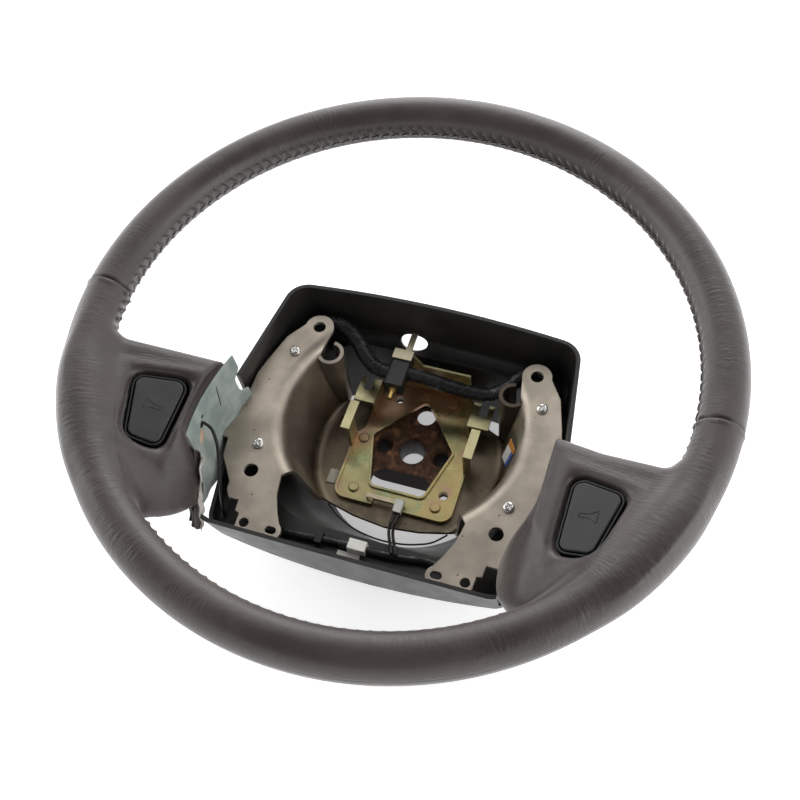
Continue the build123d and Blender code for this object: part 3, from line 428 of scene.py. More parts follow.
def stitch_fold(along, angle, settings):
    """Height of the stitched pleats, and a mark for the shade painted into their gaps.

    Each pleat rises slowly and falls steeply along the seam, slanted across it, and a fine groove runs down
    the seam itself. The mark, which sets the shade painted into the gaps and the seam's groove, goes from 0
    on the smooth leather to 1 in the gaps.
    """
    off = np.degrees(angle) % 360 - STITCH_SIDE
    place = (along / settings.pitch + off / PLEAT_SLANT) % 1
    rising = (place / PLEAT_CREST) ** PLEAT_SWELL
    ridge = np.where(place < PLEAT_CREST, rising, (1 - place) / (1 - PLEAT_CREST))
    band = np.exp(-((off / PLEAT_BAND) ** 4))
    seam = fading(off, STITCH_DEPTH, STITCH_WIDTH)
    height = settings.pucker * (band * (ridge - PLEAT_LEVEL) - seam)
    mark = np.clip(band * np.clip(1 - PLEAT_GAP * ridge, 0, 1) + seam, 0, 1)
    return height, mark


def upper_skin(settings):
    """Tube over the top of the rim, tucked in at both end seams and pleated along the inner stitching."""
    turn = np.linspace(-SEAM_DROP, math.pi + SEAM_DROP, UPPER_RINGS)[:, None]
    angle = np.concatenate([np.linspace(*span, endpoint=False) for span in UPPER_SPANS])
    angle = np.radians(angle)[None, :]
    along = turn * RIM_R
    from_end = np.minimum(along - along.min(), along.max() - along)
    height, mark = stitch_fold(along, angle, settings)
    radius = TUBE - fading(from_end, *SEAM_TUCK) + height
    points = rim_point(turn, angle, radius).reshape(-1, 3)
    uv = np.stack(np.broadcast_arrays(along, angle * TUBE), -1).reshape(-1, 2)
    # The fold mark paints shade into the pleat gaps and along the end seams.
    fold = np.maximum(mark, fading(from_end, *SEAM_SHADE)).ravel()
    return points, grid_faces(UPPER_RINGS, angle.shape[1], wrap_columns=True), uv, fold


def pad_top(x):
    """Height of the sloping face of a pad."""
    return PAD_LEVEL + (x - PAD_LEVEL_X) * math.tan(PAD_TILT)


def button_axes(x, y, z):
    """Coordinates in the button's own plane: across, along and out of the pad's face."""
    middle_x, middle_y = BUTTON_PLACE
    run, rise = x - middle_x, z - pad_top(middle_x)
    cos, sin = math.cos(PAD_TILT), math.sin(PAD_TILT)
    return run * cos + rise * sin, y - middle_y, rise * cos - run * sin


def end_bow(y):
    """Bow of a spoke's inner end along its length, farthest from the axle near its middle."""
    return END_BOW * (1 - ((np.clip(y, *END_STRETCH) - END_MIDDLE) / END_SPAN) ** 2)


def end_line(z):
    """Distance of a spoke's inner end from the middle plane at a height, before its bow."""
    (low_x, low_z), (high_x, high_z) = PAD_END
    return low_x + (z - low_z) * (high_x - low_x) / (high_z - low_z)


def outline_field(a, b, corners, blend):
    """Field of a convex outline: the lines through its corners in turn, shared with rounded corners."""
    field = None
    for start, end in zip(corners, corners[1:] + corners[:1]):
        line = -line_field(a, b, start, end)
        field = line if field is None else shared(field, line, blend)
    return field


def run_in(value, run):
    """0 above the start of a run, rising to 1 where a value has fallen by the run's length."""
    start, length = run
    return np.clip((start - value) / length, 0, 1)


def spoke_pad(x, y, z, face, lower, right):
    """Pad of a spoke: its sloping face, upper edge, inner end and lower edge, rounded into each other."""
    lift = LAP_LIFT * right * run_in(x, LAP_LIFT_RUN)
    inward = np.where(right, LAP_REACH, -end_bow(y))
    end_round = END_ROUND + np.clip(END_SOFT_FROM - y, 0, END_SOFTER)
    pad = shared(face, line_field(x, y - lift, *PAD_UPPER_EDGE), UPPER_ROUND)
    pad = shared(pad, line_field(x + inward, z, *PAD_END), end_round)
    return shared(pad, lower, LOWER_ROUND)


def spoke_toe(x, y, z, face, lower):
    """Toe of a pad, which falls away towards the axle: its edge, tip, slope and ends, rounded together."""
    rise, fall, level = TOE_PLANE
    slope = (z - rise * x - fall * y - level) / math.hypot(1, rise, fall)
    toe = shared(line_field(x, y, *reversed(TOE_EDGE)), TOE_EDGE[1][0] - TOE_TIP - x, TOE_ROUND)
    toe = shared(toe, lower - TOE_PROUD, TOE_ROUND)
    toe = shared(toe, shared(slope, face + TOE_SUNK, TOE_CREST_ROUND), TOE_BACK_ROUND)
    toe = shared(toe, y - TOE_EDGE[0][1], TOE_TOP_ROUND)
    return shared(toe, x - TOE_OUT, TOE_BACK_ROUND)


def lower_field(points):
    """Lower half of the rim joined to both pads, with a soft recess round each button.

    The right pad reaches farther in than the left one and laps over the ear.
    """
    right = points[..., 0] > 0
    x, y, z = np.abs(points[..., 0]), points[..., 1], points[..., 2]
    reach = np.hypot(x, y)
    rim = np.hypot(reach - RIM_R, z - RIM_Z) - TUBE
    across, along, out = button_axes(x, y, z)
    button = outline_field(across, along, BUTTON_CORNERS, BUTTON_ROUND)
    swell = fading(button - BUTTON_ROOM - LIP_PLACE, LIP_SWELL, LIP_WIDTH)
    face = (z - pad_top(x)) * math.cos(PAD_TILT) - swell
    lower = line_field(x, y, *PAD_LOWER_EDGE)
    pad = spoke_pad(x, y, z, face, lower, right)
    toe = spoke_toe(x + LAP_TOE[0] * right, y - LAP_TOE[1] * right, z, face, lower)
    foot = PAD_FOOT + (LAP_FOOT - PAD_FOOT) * right * run_in(x, LAP_FOOT_RUN)
    under = shared(-line_field(reach, z, *PAD_UNDER), foot - z, UNDER_ROUND)
    spoke = shared(joined(pad, toe, TOE_FILLET), under, FOOT_ROUND)
    spoke = shared(spoke, reach - RIM_R, INNER_ROUND)
    wide = np.exp(-(((y - SPOKE_MIDDLE) / SPOKE_SPREAD) ** 4))
    skin = joined(rim, spoke, RIM_BLEND + RIM_BLEND_MORE * wide)
    room = outline_field(across, along, BUTTON_CORNERS, ROOM_ROUND) - BUTTON_ROOM
    recess = np.maximum(room, -BUTTON_SINK - out)
    skin = shared(skin, -recess, LIP_ROUND)
    seam = x * math.sin(SEAM_DROP) + y * math.cos(SEAM_DROP) + SEAM_GAP
    skin = skin - fading(seam + RIDGE_PLACE, SEAM_RIDGE, RIDGE_WIDTH)
    return shared(skin, seam, SEAM_ROUND)


def field_mesh(field, low, high, step):
    """Skin of a field: one point in each lattice cell that the surface crosses, drawn onto the surface.

    A cell's point is the mean of the crossings on its twelve edges, and each crossed edge gives a quad.
    """
    axes = [np.arange(a, b + step, step) for a, b in zip(low, high)]
    lattice = np.stack(np.meshgrid(*axes, indexing="ij"), -1)
    value = field(lattice)
    cells = np.array(value.shape) - 1
    total = np.zeros((*cells, 3))
    count = np.zeros(cells)
    crossings = []
    for axis in range(3):
        one = np.take(value, range(cells[axis]), axis)
        two = np.take(value, range(1, cells[axis] + 1), axis)
        crossed = (one < 0) != (two < 0)
        share = np.where(crossed, one / np.where(crossed, one - two, 1), 0)
        place = np.take(lattice, range(cells[axis]), axis).copy()
        place[..., axis] += share * step
        place[~crossed] = 0
        crossings.append((crossed, one < 0))
        first, second = [k for k in range(3) if k != axis]
        for shift_a in (0, 1):
            for shift_b in (0, 1):
                cut = [slice(None)] * 3
                cut[first] = slice(shift_a, shift_a + cells[first])
                cut[second] = slice(shift_b, shift_b + cells[second])
                total += place[tuple(cut)]
                count += crossed[tuple(cut)]
    active = count > 0
    index = np.full(cells, -1)
    index[active] = np.arange(active.sum())
    points = total[active] / count[active][:, None]
    faces = []
    for axis, (crossed, inside) in enumerate(crossings):
        first, second = [(1, 2), (2, 0), (0, 1)][axis]
        at = np.argwhere(crossed)
        at = at[(at[:, first] > 0) & (at[:, second] > 0)]
        out = inside[tuple(at.T)]
        step_a, step_b = np.eye(3, dtype=int)[first], np.eye(3, dtype=int)[second]
        ring = [index[tuple((at - move).T)] for move in (step_a + step_b, step_b, 0 * step_a, step_a)]
        quads = np.stack(ring, -1)
        faces.append(np.where(out[:, None], quads, quads[:, ::-1]))
    return settle(points, field), np.concatenate(faces)


def settle(points, field):
    """Draw points onto the surface of a field, along its slope, in a few steps."""
    reach, flattest, steps = 0.05, 0.1, 4
    for _ in range(steps):
        value = field(points)
        slope = [(field(points + reach * axis) - value) / reach for axis in np.eye(3)]
        slope = np.stack(slope, -1)
        size = np.maximum((slope**2).sum(-1), flattest)
        points = points - slope * np.clip(value / size, -1, 1)[:, None]
    return points


def lower_skin(settings):
    """Skin of the lower rim and spokes, pleated where its stitching shows above and below the spokes."""
    reach = RIM_R + TUBE + LATTICE_MARGIN
    low = (-reach, -reach, PAD_FOOT - LATTICE_MARGIN)
    high = (reach, LATTICE_TOP, RIM_Z + TUBE + LATTICE_MARGIN)
    points, faces = field_mesh(lower_field, low, high, LATTICE)
    x, y, z = points.T
    turn = np.arctan2(y, x)
    rim = np.hypot(np.hypot(x, y) - RIM_R, z - RIM_Z) - TUBE
    angle = (np.arctan2(z - RIM_Z, np.hypot(x, y) - RIM_R) + math.pi / 2) % (2 * math.pi) - math.pi / 2
    height, mark = stitch_fold(turn * RIM_R, angle, settings)
    free = (y > PAD_UPPER_EDGE[1][1]) | (y < PAD_LOWER_EDGE[1][1] - TUBE / 2)
    on_rim = fading(rim, 1, STITCH_FADE) * free
    outward = np.stack([np.cos(angle) * np.cos(turn), np.cos(angle) * np.sin(turn), np.sin(angle)], -1)
    points = points + outward * (height * on_rim)[:, None]
    uv = np.stack([turn * RIM_R, angle * TUBE - np.maximum(rim, 0)], -1)
    # The fold mark paints shade into the pleat gaps where the rim shows.
    return points, faces, uv, mark * on_rim


def stitch_threads(settings):
    """Short threads that lie along the seam from pleat to pleat: round bars with tapered ends."""
    sides, rings = 6, 7
    count = int(math.pi * RIM_R / settings.pitch)
    seam = math.radians(STITCH_SIDE)
    share = np.linspace(0, 1, rings)[None, :, None]
    start = np.arange(count)[:, None, None] + THREAD_START
    turn = (start + THREAD_LENGTH * share) * settings.pitch / RIM_R
    around = np.linspace(0, 2 * math.pi, sides, endpoint=False)[None, None, :]
    thick = THREAD * np.sqrt(np.clip(1 - (2 * share - 1) ** 4, 0.01, 1))
    out = TUBE + THREAD_RISE * settings.pucker + thick * np.cos(around)
    angle = seam + (thick * np.sin(around) + THREAD_SLANT * (share - 0.5)) / TUBE
    turn, angle, out = np.broadcast_arrays(turn, angle, out)
    points = rim_point(turn, angle, out).reshape(-1, 3)
    one = grid_faces(rings, sides, wrap_columns=True)
    faces = (np.arange(count)[:, None, None] * rings * sides + one[None]).reshape(-1, 4)
    return points, faces


# Flap, torn strip, collar, hub and small pieces
def shell(front, back):
    """Closed shell of two skins on one grid, drawn together along their first and last rows."""
    front, back = front.copy(), back.copy()
    for row in (0, -1):
        front[row] = back[row] = (front[row] + back[row]) / 2
    rows, columns = front.shape[:2]
    points = np.concatenate([front, back[:, ::-1]], 1).reshape(-1, 3)
    return points, grid_faces(rows, 2 * columns, wrap_columns=True)


def flap_sheet():
    """Sheet over the left spoke's end: straight lines from its foot to its upper edge, with a slight wave.

    Its back edge steps in at a notch, and its upper edge falls along the toe of the leather.
    """
    rows, columns = FLAP_GRID
    share = np.linspace(0, 1, rows)[:, None]
    up = np.linspace(0, 1, columns)[None, :]
    back, end = FLAP_REACH
    low, high = FLAP_FOOT
    height, half, depth = FLAP_NOTCH
    level = low + up * (FLAP_TOP - low)
    start = back - depth * np.exp(-(((level - height) / half) ** 6))
    y = start + share * (end - start)
    top = FLAP_TOP + np.minimum(0, FLAP_FALL * (y - TOE_EDGE[0][1]))
    foot = low + (high - low) * run_in(y, FLAP_FOOT_RUN)
    z = foot + up * (top - foot)
    wave = sum(size * np.sin(y / length + twist * up) for size, length, twist in FLAP_WAVES) * (1 - up)
    x = -(end_line(z) + end_bow(y) - FLAP_OFF - wave)
    front = np.stack([x, y, z], -1)
    return shell(front, front - (FLAP_THICK, 0, 0))


def torn_strip():
    """Torn end of the leather by the flap's foot: a smooth path with a folded cross-section swept along it.

    The fold attribute marks the pale torn edge.
    """
    rows, columns = STRIP_GRID
    share = np.linspace(0, 1, rows)
    knots = np.linspace(0, 1, len(STRIP_ROUTE))
    path = [np.polyval(np.polyfit(knots, column, 3), share) for column in np.array(STRIP_ROUTE).T]
    path = np.stack(path, -1)[:, None]
    tangent = np.gradient(path[:, 0], axis=0)[:, None]
    across = np.array(STRIP_ACROSS)
    out = np.cross(across, tangent)
    out = out / np.linalg.norm(out, axis=-1, keepdims=True)
    width = np.linspace(-STRIP_HALF, STRIP_HALF, columns)[None, :, None]
    run = share[:, None, None]
    lift = sum(size * np.sin(wide * width + long * run) for size, wide, long in STRIP_FOLDS)
    depth, waves = STRIP_RAGGED
    ragged = 1 + depth * np.sin(waves * run) * (width > 0)
    front = path + across * width * ragged + out * lift
    points, faces = shell(front, front - STRIP_THICK * out)
    start, length = STRIP_PALE
    pale = np.clip((width[..., 0] - start) / length, 0, 1) * np.ones((rows, 1))
    return points, faces, np.concatenate([pale, pale[:, ::-1]], 1).ravel()


def around_axle(turn, radius, height):
    """Points at a turn round the axle, a distance from it and a height."""
    return np.stack(np.broadcast_arrays(radius * np.cos(turn), radius * np.sin(turn), height), -1)


def mouth_reach(turn, inset):
    """Distance from the axle to the rounded outline of the tray's mouth along a direction, by halving."""
    low, high = [np.full_like(turn, limit) for limit in MOUTH_SEARCH]
    core = np.array(MOUTH_HALF) - inset - MOUTH_CORNER
    halvings = 30
    for _ in range(halvings):
        middle = (low + high) / 2
        a = np.abs(middle * np.cos(turn)) - core[0]
        b = np.abs(middle * np.sin(turn) - MOUTH_MIDDLE) - core[1]
        field = np.hypot(np.maximum(a, 0), np.maximum(b, 0)) + np.minimum(np.maximum(a, b), 0)
        outside = field > MOUTH_CORNER
        low, high = np.where(outside, low, middle), np.where(outside, middle, high)
    return low


def collar_front():
    """Front of the collar: straight lines from the tray's mouth down to a circle about the axle.

    At both ends the lines ease back into the collar's own wall.
    """
    rows, columns = COLLAR_GRID
    turn = np.radians(np.linspace(*COLLAR_TURN, rows))[:, None]
    down = np.linspace(0, 1, columns)[None, :]
    end = np.clip(np.degrees(np.minimum(turn - turn[0], turn[-1] - turn)) / COLLAR_EASE, 0, 1)
    ease = end**2 * (3 - 2 * end)
    wall = mouth_reach(turn, MOUTH_DRAFT + COLLAR_OFF)
    base = wall + (BASE_R - wall) * ease
    top = mouth_reach(turn, COLLAR_OFF)
    reach = top + (base - top) * down
    height = MOUTH_HIGH + (MOUTH_BASE - MOUTH_HIGH) * down
    front, back = [around_axle(turn, radius, height) for radius in (reach, reach + COLLAR_WALL)]
    return shell(back, front)


def bore_splines():
    """Splined lining of the bore: a circle with teeth, carried from the seat up to the chamfer."""
    angle = np.linspace(0, 2 * math.pi, BORE_TEETH * TOOTH_STEPS, endpoint=False)[:, None]
    tooth = np.clip(0.5 + TOOTH_FLANK * np.cos(BORE_TEETH * angle), 0, 1)
    height, share = np.array(BORE_RINGS).T
    lining = BORE_R - BORE_OFF - TOOTH_DEPTH * tooth * share
    behind = np.full((len(angle), 2), BORE_R + BORE_BEHIND)
    radius = np.concatenate([lining, behind], 1)
    points = around_axle(angle, radius, np.append(height, height[[-1, 0]]))
    faces = grid_faces(*radius.shape, wrap_rows=True, wrap_columns=True)
    return points.reshape(-1, 3), faces[:, ::-1]


def recess_bar(across, along):
    """1 inside a bar of the cross recess and 0 outside it, with sloping edges."""
    wide, long = RECESS_BAR
    edge, end = RECESS_EDGE
    return np.clip((wide - np.abs(across)) / edge, 0, 1) * np.clip((long - np.abs(along)) / end, 0, 1)


def screw_heads():
    """Pan heads: a dome that falls with the fourth power of the radius, less two crossed bars of recess."""
    rings, sides = 26, 72
    share = np.append(np.linspace(0, 1, rings), 1.0)[None, :, None]
    around = np.linspace(0, 2 * math.pi, sides, endpoint=False)[None, None, :]
    turn = np.array(SCREW_TURNS)[:, None, None]
    middle_x, middle_y = np.array(SCREW_PLACES).T[:, :, None, None]
    u, v = [SCREW_R * share * wave(around + turn) for wave in (np.cos, np.sin)]
    bars = [recess_bar(u, v), recess_bar(v, u)]
    top = node_box("ear_screws")[1][2]
    height = top - HEAD_FALL * share**4 - RECESS_DEEP * np.maximum(*bars)
    height[:, -1] = top - HEAD_HIGH - HEAD_FOOT
    x = middle_x + SCREW_R * share * np.cos(around)
    y = middle_y + SCREW_R * share * np.sin(around)
    points = np.stack(np.broadcast_arrays(x, y, height), -1).reshape(-1, 3)
    one = grid_faces(share.size, around.size, wrap_columns=True)
    first = np.arange(len(SCREW_PLACES))[:, None, None] * share.size * around.size
    return points, (first + one[None]).reshape(-1, 4)


def button_point(side, a, b, out):
    """Point on a button's own axes: across, along and out of the pad's face."""
    cos, sin = math.cos(PAD_TILT), math.sin(PAD_TILT)
    x = BUTTON_PLACE[0] + a * cos - out * sin
    z = pad_top(BUTTON_PLACE[0]) + a * sin + out * cos
    return np.stack(np.broadcast_arrays(side * x, BUTTON_PLACE[1] + b, z), -1)


def horn_dome(side):
    """Rubber dome under a button: a thin hat's outline turned about the button's axis."""
    sides = 48
    radius, height = np.array(DOME_OUTLINE).T[:, :, None]
    around = np.linspace(0, 2 * math.pi, sides, endpoint=False)[None, :]
    points = button_point(side, radius * np.cos(around), radius * np.sin(around), DOME_BASE + height)
    faces = grid_faces(*points.shape[:2], wrap_rows=True, wrap_columns=True)
    return points.reshape(-1, 3), faces if side > 0 else faces[:, ::-1]


def horn_sign(side):
    """Raised outline of a horn on a button: a round bar along a closed path in the button's plane."""
    steps, sides = 120, 8
    mesh = frame["nodes"]["horn_button_right" if side > 0 else "horn_button_left"].data
    corners = np.empty(3 * len(mesh.vertices))
    mesh.vertices.foreach_get("co", corners)
    x, y, z = corners.reshape(-1, 3).T / MM
    face = button_axes(np.abs(x), y, z)[2].max()
    path = np.array(SIGN_BELL + [(a, -b) for a, b in reversed(SIGN_BELL)])
    closed = np.concatenate([path, path[:1]])
    length = np.append(0, np.cumsum(np.hypot(*np.diff(closed, axis=0).T)))
    place = np.linspace(0, length[-1], steps, endpoint=False)
    a, b = [np.interp(place, length, column)[:, None] for column in closed.T]
    tangent = np.stack([np.roll(c, -1, 0) - np.roll(c, 1, 0) for c in (a, b)], -1)[:, 0]
    tangent = tangent / np.linalg.norm(tangent, axis=-1, keepdims=True)
    around = np.linspace(0, 2 * math.pi, sides, endpoint=False)[None, :]
    wide, high = SIGN_BAR
    swing = wide * np.cos(around)
    a = a + swing * tangent[:, 1:]
    b = b - swing * tangent[:, :1] + SIGN_UP
    out = face + SIGN_LIFT + high * np.sin(around)
    points = button_point(side, a, b, out).reshape(-1, 3)
    faces = grid_faces(*a.shape, wrap_rows=True, wrap_columns=True)
    return points, faces if side > 0 else faces[:, ::-1]


# Node materials
class Finish:
    """A node material in the making, on Object coordinates unless a pattern follows the surface."""

    def __init__(self, name, colour, roughness, metallic=0.0):
        self.material = bpy.data.materials.new(name)
        self.material.use_nodes = True
        self.tree = self.material.node_tree
        self.shader = self.tree.nodes["Principled BSDF"]
        self.shader.inputs["Base Color"].default_value = (*colour, 1)
        self.shader.inputs["Roughness"].default_value = roughness
        self.shader.inputs["Metallic"].default_value = metallic
        coordinates = self.node("ShaderNodeTexCoord")
        self.place = coordinates.outputs["Object"]
        self.surface = coordinates.outputs["UV"]
        self.normal = None

    def node(self, kind, **settings):
        """New node with its settings."""
        made = self.tree.nodes.new(kind)
        for name, value in settings.items():
            setattr(made, name, value)
        return made

    def wire(self, source, target):
        """Link a socket, or set a constant, on a target socket."""
        if isinstance(source, bpy.types.NodeSocket):
            self.tree.links.new(source, target)
        else:
            target.default_value = source

    def mapped(self, size, stretch=(1, 1, 1), place=None):
        """Coordinates in units of a size in millimetres."""
        mapping = self.node("ShaderNodeMapping")
        mapping.inputs["Scale"].default_value = [1 / (size * MM * s) for s in stretch]
        self.wire(place or self.place, mapping.inputs["Vector"])
        return mapping.outputs[0]

    def noise(self, size, detail=2.0, stretch=(1, 1, 1), place=None):
        """Noise with features about a size in millimetres, stretched along its axes."""
        texture = self.node("ShaderNodeTexNoise")
        texture.inputs["Scale"].default_value = 1.0
        texture.inputs["Detail"].default_value = detail
        self.wire(self.mapped(size, stretch, place), texture.inputs["Vector"])
        return texture.outputs[0]

    def cells(self, size):
        """Distance to the middles of cells about a size in millimetres across."""
        texture = self.node("ShaderNodeTexVoronoi")
        texture.inputs["Scale"].default_value = 1.0
        self.wire(self.mapped(size), texture.inputs["Vector"])
        return texture.outputs["Distance"]

    def mark(self, name):
        """Float attribute of the mesh."""
        return self.node("ShaderNodeAttribute", attribute_name=name).outputs["Fac"]

    def softened(self, radius):
        """Round the shading of hard edges over a radius in millimetres."""
        made = self.node("ShaderNodeBevel", samples=4)
        made.inputs["Radius"].default_value = radius * MM
        self.normal = made.outputs[0]
        self.wire(self.normal, self.shader.inputs["Normal"])

    def spot(self, middle, radii, turn=0.0, edge=0.2):
        """1 inside an ellipsoid, turned about the X axis by degrees, and 0 outside it, in millimetres."""
        mapping = self.node("ShaderNodeMapping", vector_type="TEXTURE")
        mapping.inputs["Location"].default_value = [m * MM for m in middle]
        mapping.inputs["Rotation"].default_value = (math.radians(turn), 0, 0)
        mapping.inputs["Scale"].default_value = [r * MM for r in radii]
        self.wire(self.place, mapping.inputs["Vector"])
        length = self.node("ShaderNodeVectorMath", operation="LENGTH")
        self.wire(mapping.outputs[0], length.inputs[0])
        return self.step(length.outputs["Value"], 1 - edge, 1, 1, 0)

    def axis(self, name):
        """One coordinate of the place, in metres."""
        split = self.node("ShaderNodeSeparateXYZ")
        self.wire(self.place, split.inputs[0])
        return split.outputs[name]

    def zone(self, along, low, high, start=0.0, end=1.0):
        """Smooth change along an axis, or a value in metres, between two places in millimetres."""
        value = self.axis(along) if isinstance(along, str) else along
        return self.step(value, low * MM, high * MM, start, end)

    def math(self, operation, a, b=0.0):
        """Result of an operation on two values."""
        made = self.node("ShaderNodeMath", operation=operation)
        self.wire(a, made.inputs[0])
        self.wire(b, made.inputs[1])
        return made.outputs[0]

    def step(self, value, low, high, start=0.0, end=1.0):
        """Smooth change from one value to another as the input goes from low to high."""
        made = self.node("ShaderNodeMapRange", interpolation_type="SMOOTHSTEP")
        limits = {"From Min": low, "From Max": high, "To Min": start, "To Max": end}
        for socket, number in limits.items():
            made.inputs[socket].default_value = number
        self.wire(value, made.inputs["Value"])
        return made.outputs[0]

    def mix(self, share, first, second):
        """Colour between two colours."""
        made = self.node("ShaderNodeMix", data_type="RGBA")
        self.wire(share, made.inputs[0])
        for source, socket in ((first, made.inputs[6]), (second, made.inputs[7])):
            self.wire(source if isinstance(source, bpy.types.NodeSocket) else (*source, 1), socket)
        return made.outputs[2]

    def colour(self, source):
        """Set the base colour."""
        self.wire(source, self.shader.inputs["Base Color"])

    def rough(self, source):
        """Set the roughness."""
        self.wire(source, self.shader.inputs["Roughness"])

    def raised(self, height, depth):
        """Bump of a depth in millimetres, added to the bumps before it."""
        made = self.node("ShaderNodeBump")
        made.inputs["Distance"].default_value = depth * MM
        self.wire(height, made.inputs["Height"])
        if self.normal:
            self.wire(self.normal, made.inputs["Normal"])
        self.normal = made.outputs[0]
        self.wire(self.normal, self.shader.inputs["Normal"])


def leather_finish(settings):
    """Satin leather: fine grain, creases across the rim, faint wear, and painted shade in the gaps between
    the pleats and at the end seams.

    A fine groove runs along the outer side of the lower rim, with painted shade in it.
    """
    finish = Finish("rim_leather", settings.colour, 0.4)
    colour = np.array(settings.colour)
    patch = finish.noise(40, 3)
    crease = finish.noise(1.8, 3, (1, 4.5, 1), finish.surface)
    worn = finish.math("MULTIPLY", crease, finish.step(finish.noise(22, 2), 0.36, 0.62, 0.25, 1))
    tone = finish.mix(finish.step(patch, 0.35, 0.68), tuple(colour * 0.86), tuple(colour * 1.16))
    inner = finish.spot((0, 0, 0), (RIM_R, RIM_R, ENDLESS))
    slab = finish.spot((0, 0, RIM_Z + GROOVE_RISE), (ENDLESS, ENDLESS, GROOVE_HALF), edge=0.5)
    groove = finish.math("MULTIPLY", finish.math("SUBTRACT", 1.0, inner), slab)
    groove = finish.math("MULTIPLY", groove, finish.zone("Y", *GROOVE_END, 1, 0))
    # Painted shade: near black in the pleat gaps and end seams, and partly in the groove.
    painted_shade = finish.math("MAXIMUM", finish.mark("fold"), finish.math("MULTIPLY", groove, 0.7))
    finish.colour(finish.mix(painted_shade, tone, tuple(colour * 0.10)))
    finish.rough(finish.step(patch, 0.3, 0.75, 0.34, 0.44))
    finish.raised(groove, -0.4)
    finish.raised(finish.cells(0.8), -0.06)
    finish.raised(worn, 0.42)
    finish.raised(finish.noise(9, 3), 0.3)
    sheen = {"Specular IOR Level": 0.55, "Sheen Weight": 0.3, "Sheen Roughness": 0.35}
    coat = {"Coat Weight": 0.25, "Coat Roughness": 0.3}
    for socket, number in (sheen | coat).items():
        finish.shader.inputs[socket].default_value = number
    return finish.material


def torn_finish(settings):
    """Torn leather: dark face with a pale fibrous edge."""
    finish = Finish("torn_leather", settings.colour, 0.5)
    fibre = finish.noise(2.2, 4)
    frayed = finish.math("ADD", finish.mark("fold"), finish.math("MULTIPLY", fibre, 0.5))
    edge = finish.step(frayed, 0.45, 0.95)
    finish.colour(finish.mix(edge, tuple(settings.colour), (0.5, 0.47, 0.43)))
    finish.raised(fibre, 0.35)
    finish.raised(finish.noise(5, 3), 0.6)
    return finish.material


def flap_finish():
    """Cloudy grey green backing with a tan tear, and a slit and two small holes drawn as painted shade.

    Each is an ellipse in length and height, carried through the sheet.
    """
    finish = Finish("flap_backing", (0.30, 0.37, 0.33), 0.55)
    cloud = finish.noise(16, 4)
    tone = finish.mix(finish.step(cloud, 0.35, 0.68), (0.235, 0.285, 0.265), (0.40, 0.44, 0.41))
    # The slit and the two holes are painted shade, black on a sheet that is not cut there.
    tan, hole_shade = (0.60, 0.44, 0.31), (0.012, 0.012, 0.011)
    for colour, marks in ((tan, [FLAP_TEAR]), (hole_shade, [FLAP_SLIT, *FLAP_EYES])):
        for middle, radii, turn in marks:
            inside = finish.spot((0, *middle), (ENDLESS, *radii), turn)
            tone = finish.mix(inside, tone, colour)
    finish.colour(tone)
    finish.raised(finish.noise(1.0, 3), 0.10)
    finish.raised(cloud, 0.5)
    return finish.material


def label_finish(low, high):
    """Printed strip: white paper with an orange head and a blue band along one side."""
    paper = (0.78, 0.77, 0.74)
    finish = Finish("striped_label", paper, 0.5)
    middle = (low + high) / 2
    blue = finish.zone("Y", *(middle[1] + LABEL_BLUE), 1, 0)
    tone = finish.mix(blue, paper, (0.06, 0.13, 0.42))
    head = finish.zone("Z", *(middle[2] + LABEL_HEAD))
    finish.colour(finish.mix(head, tone, (0.60, 0.24, 0.05)))
    finish.raised(finish.noise(4, 2), 0.2)
    return finish.material


def frame_finish(settings):
    """Dulled plating: cloudy tone on the ears, brown blotches in the dish, painted shade in the rolled
    edges, and pits.
    """
    finish = Finish("frame_plating", settings.steel, 0.38, 0.85)
    finish.softened(0.6)
    colour = np.array(settings.steel)
    cloud = finish.noise(26, 4)
    tone = finish.mix(finish.step(cloud, 0.35, 0.7), tuple(colour * 0.78), tuple(colour * 1.14))
    blotch = finish.noise(15, 5)
    brown = finish.mix(finish.step(blotch, 0.36, 0.64), (0.085, 0.062, 0.038), (0.21, 0.165, 0.105))
    tone = finish.mix(finish.zone("Z", *DISH_BROWN, 0.85, 0), tone, brown)
    roll_x, roll_y = ROLL_PLACE
    # Painted shade on the lower part of each rolled edge, inside its hollow; on the right it is stronger
    # and also stands for the black tape over the roll.
    for side, share in ROLL_SHADES:
        roll = finish.spot((roll_x * side, roll_y, 0), (ROLL_R, ROLL_R, ENDLESS))
        painted_shade = finish.math("MULTIPLY", roll, finish.zone("Z", *ROLL_PAINTED_SHADE, share, 0))
        tone = finish.mix(painted_shade, tone, (0.05, 0.035, 0.024))
    pits = finish.step(finish.cells(9), 0.035, 0.075, 1, 0)
    finish.colour(finish.mix(pits, tone, (0.10, 0.06, 0.04)))
    finish.rough(finish.step(blotch, 0.3, 0.7, 0.30, 0.48))
    finish.raised(finish.noise(3, 3), 0.05)
    finish.raised(pits, -0.15)
    return finish.material


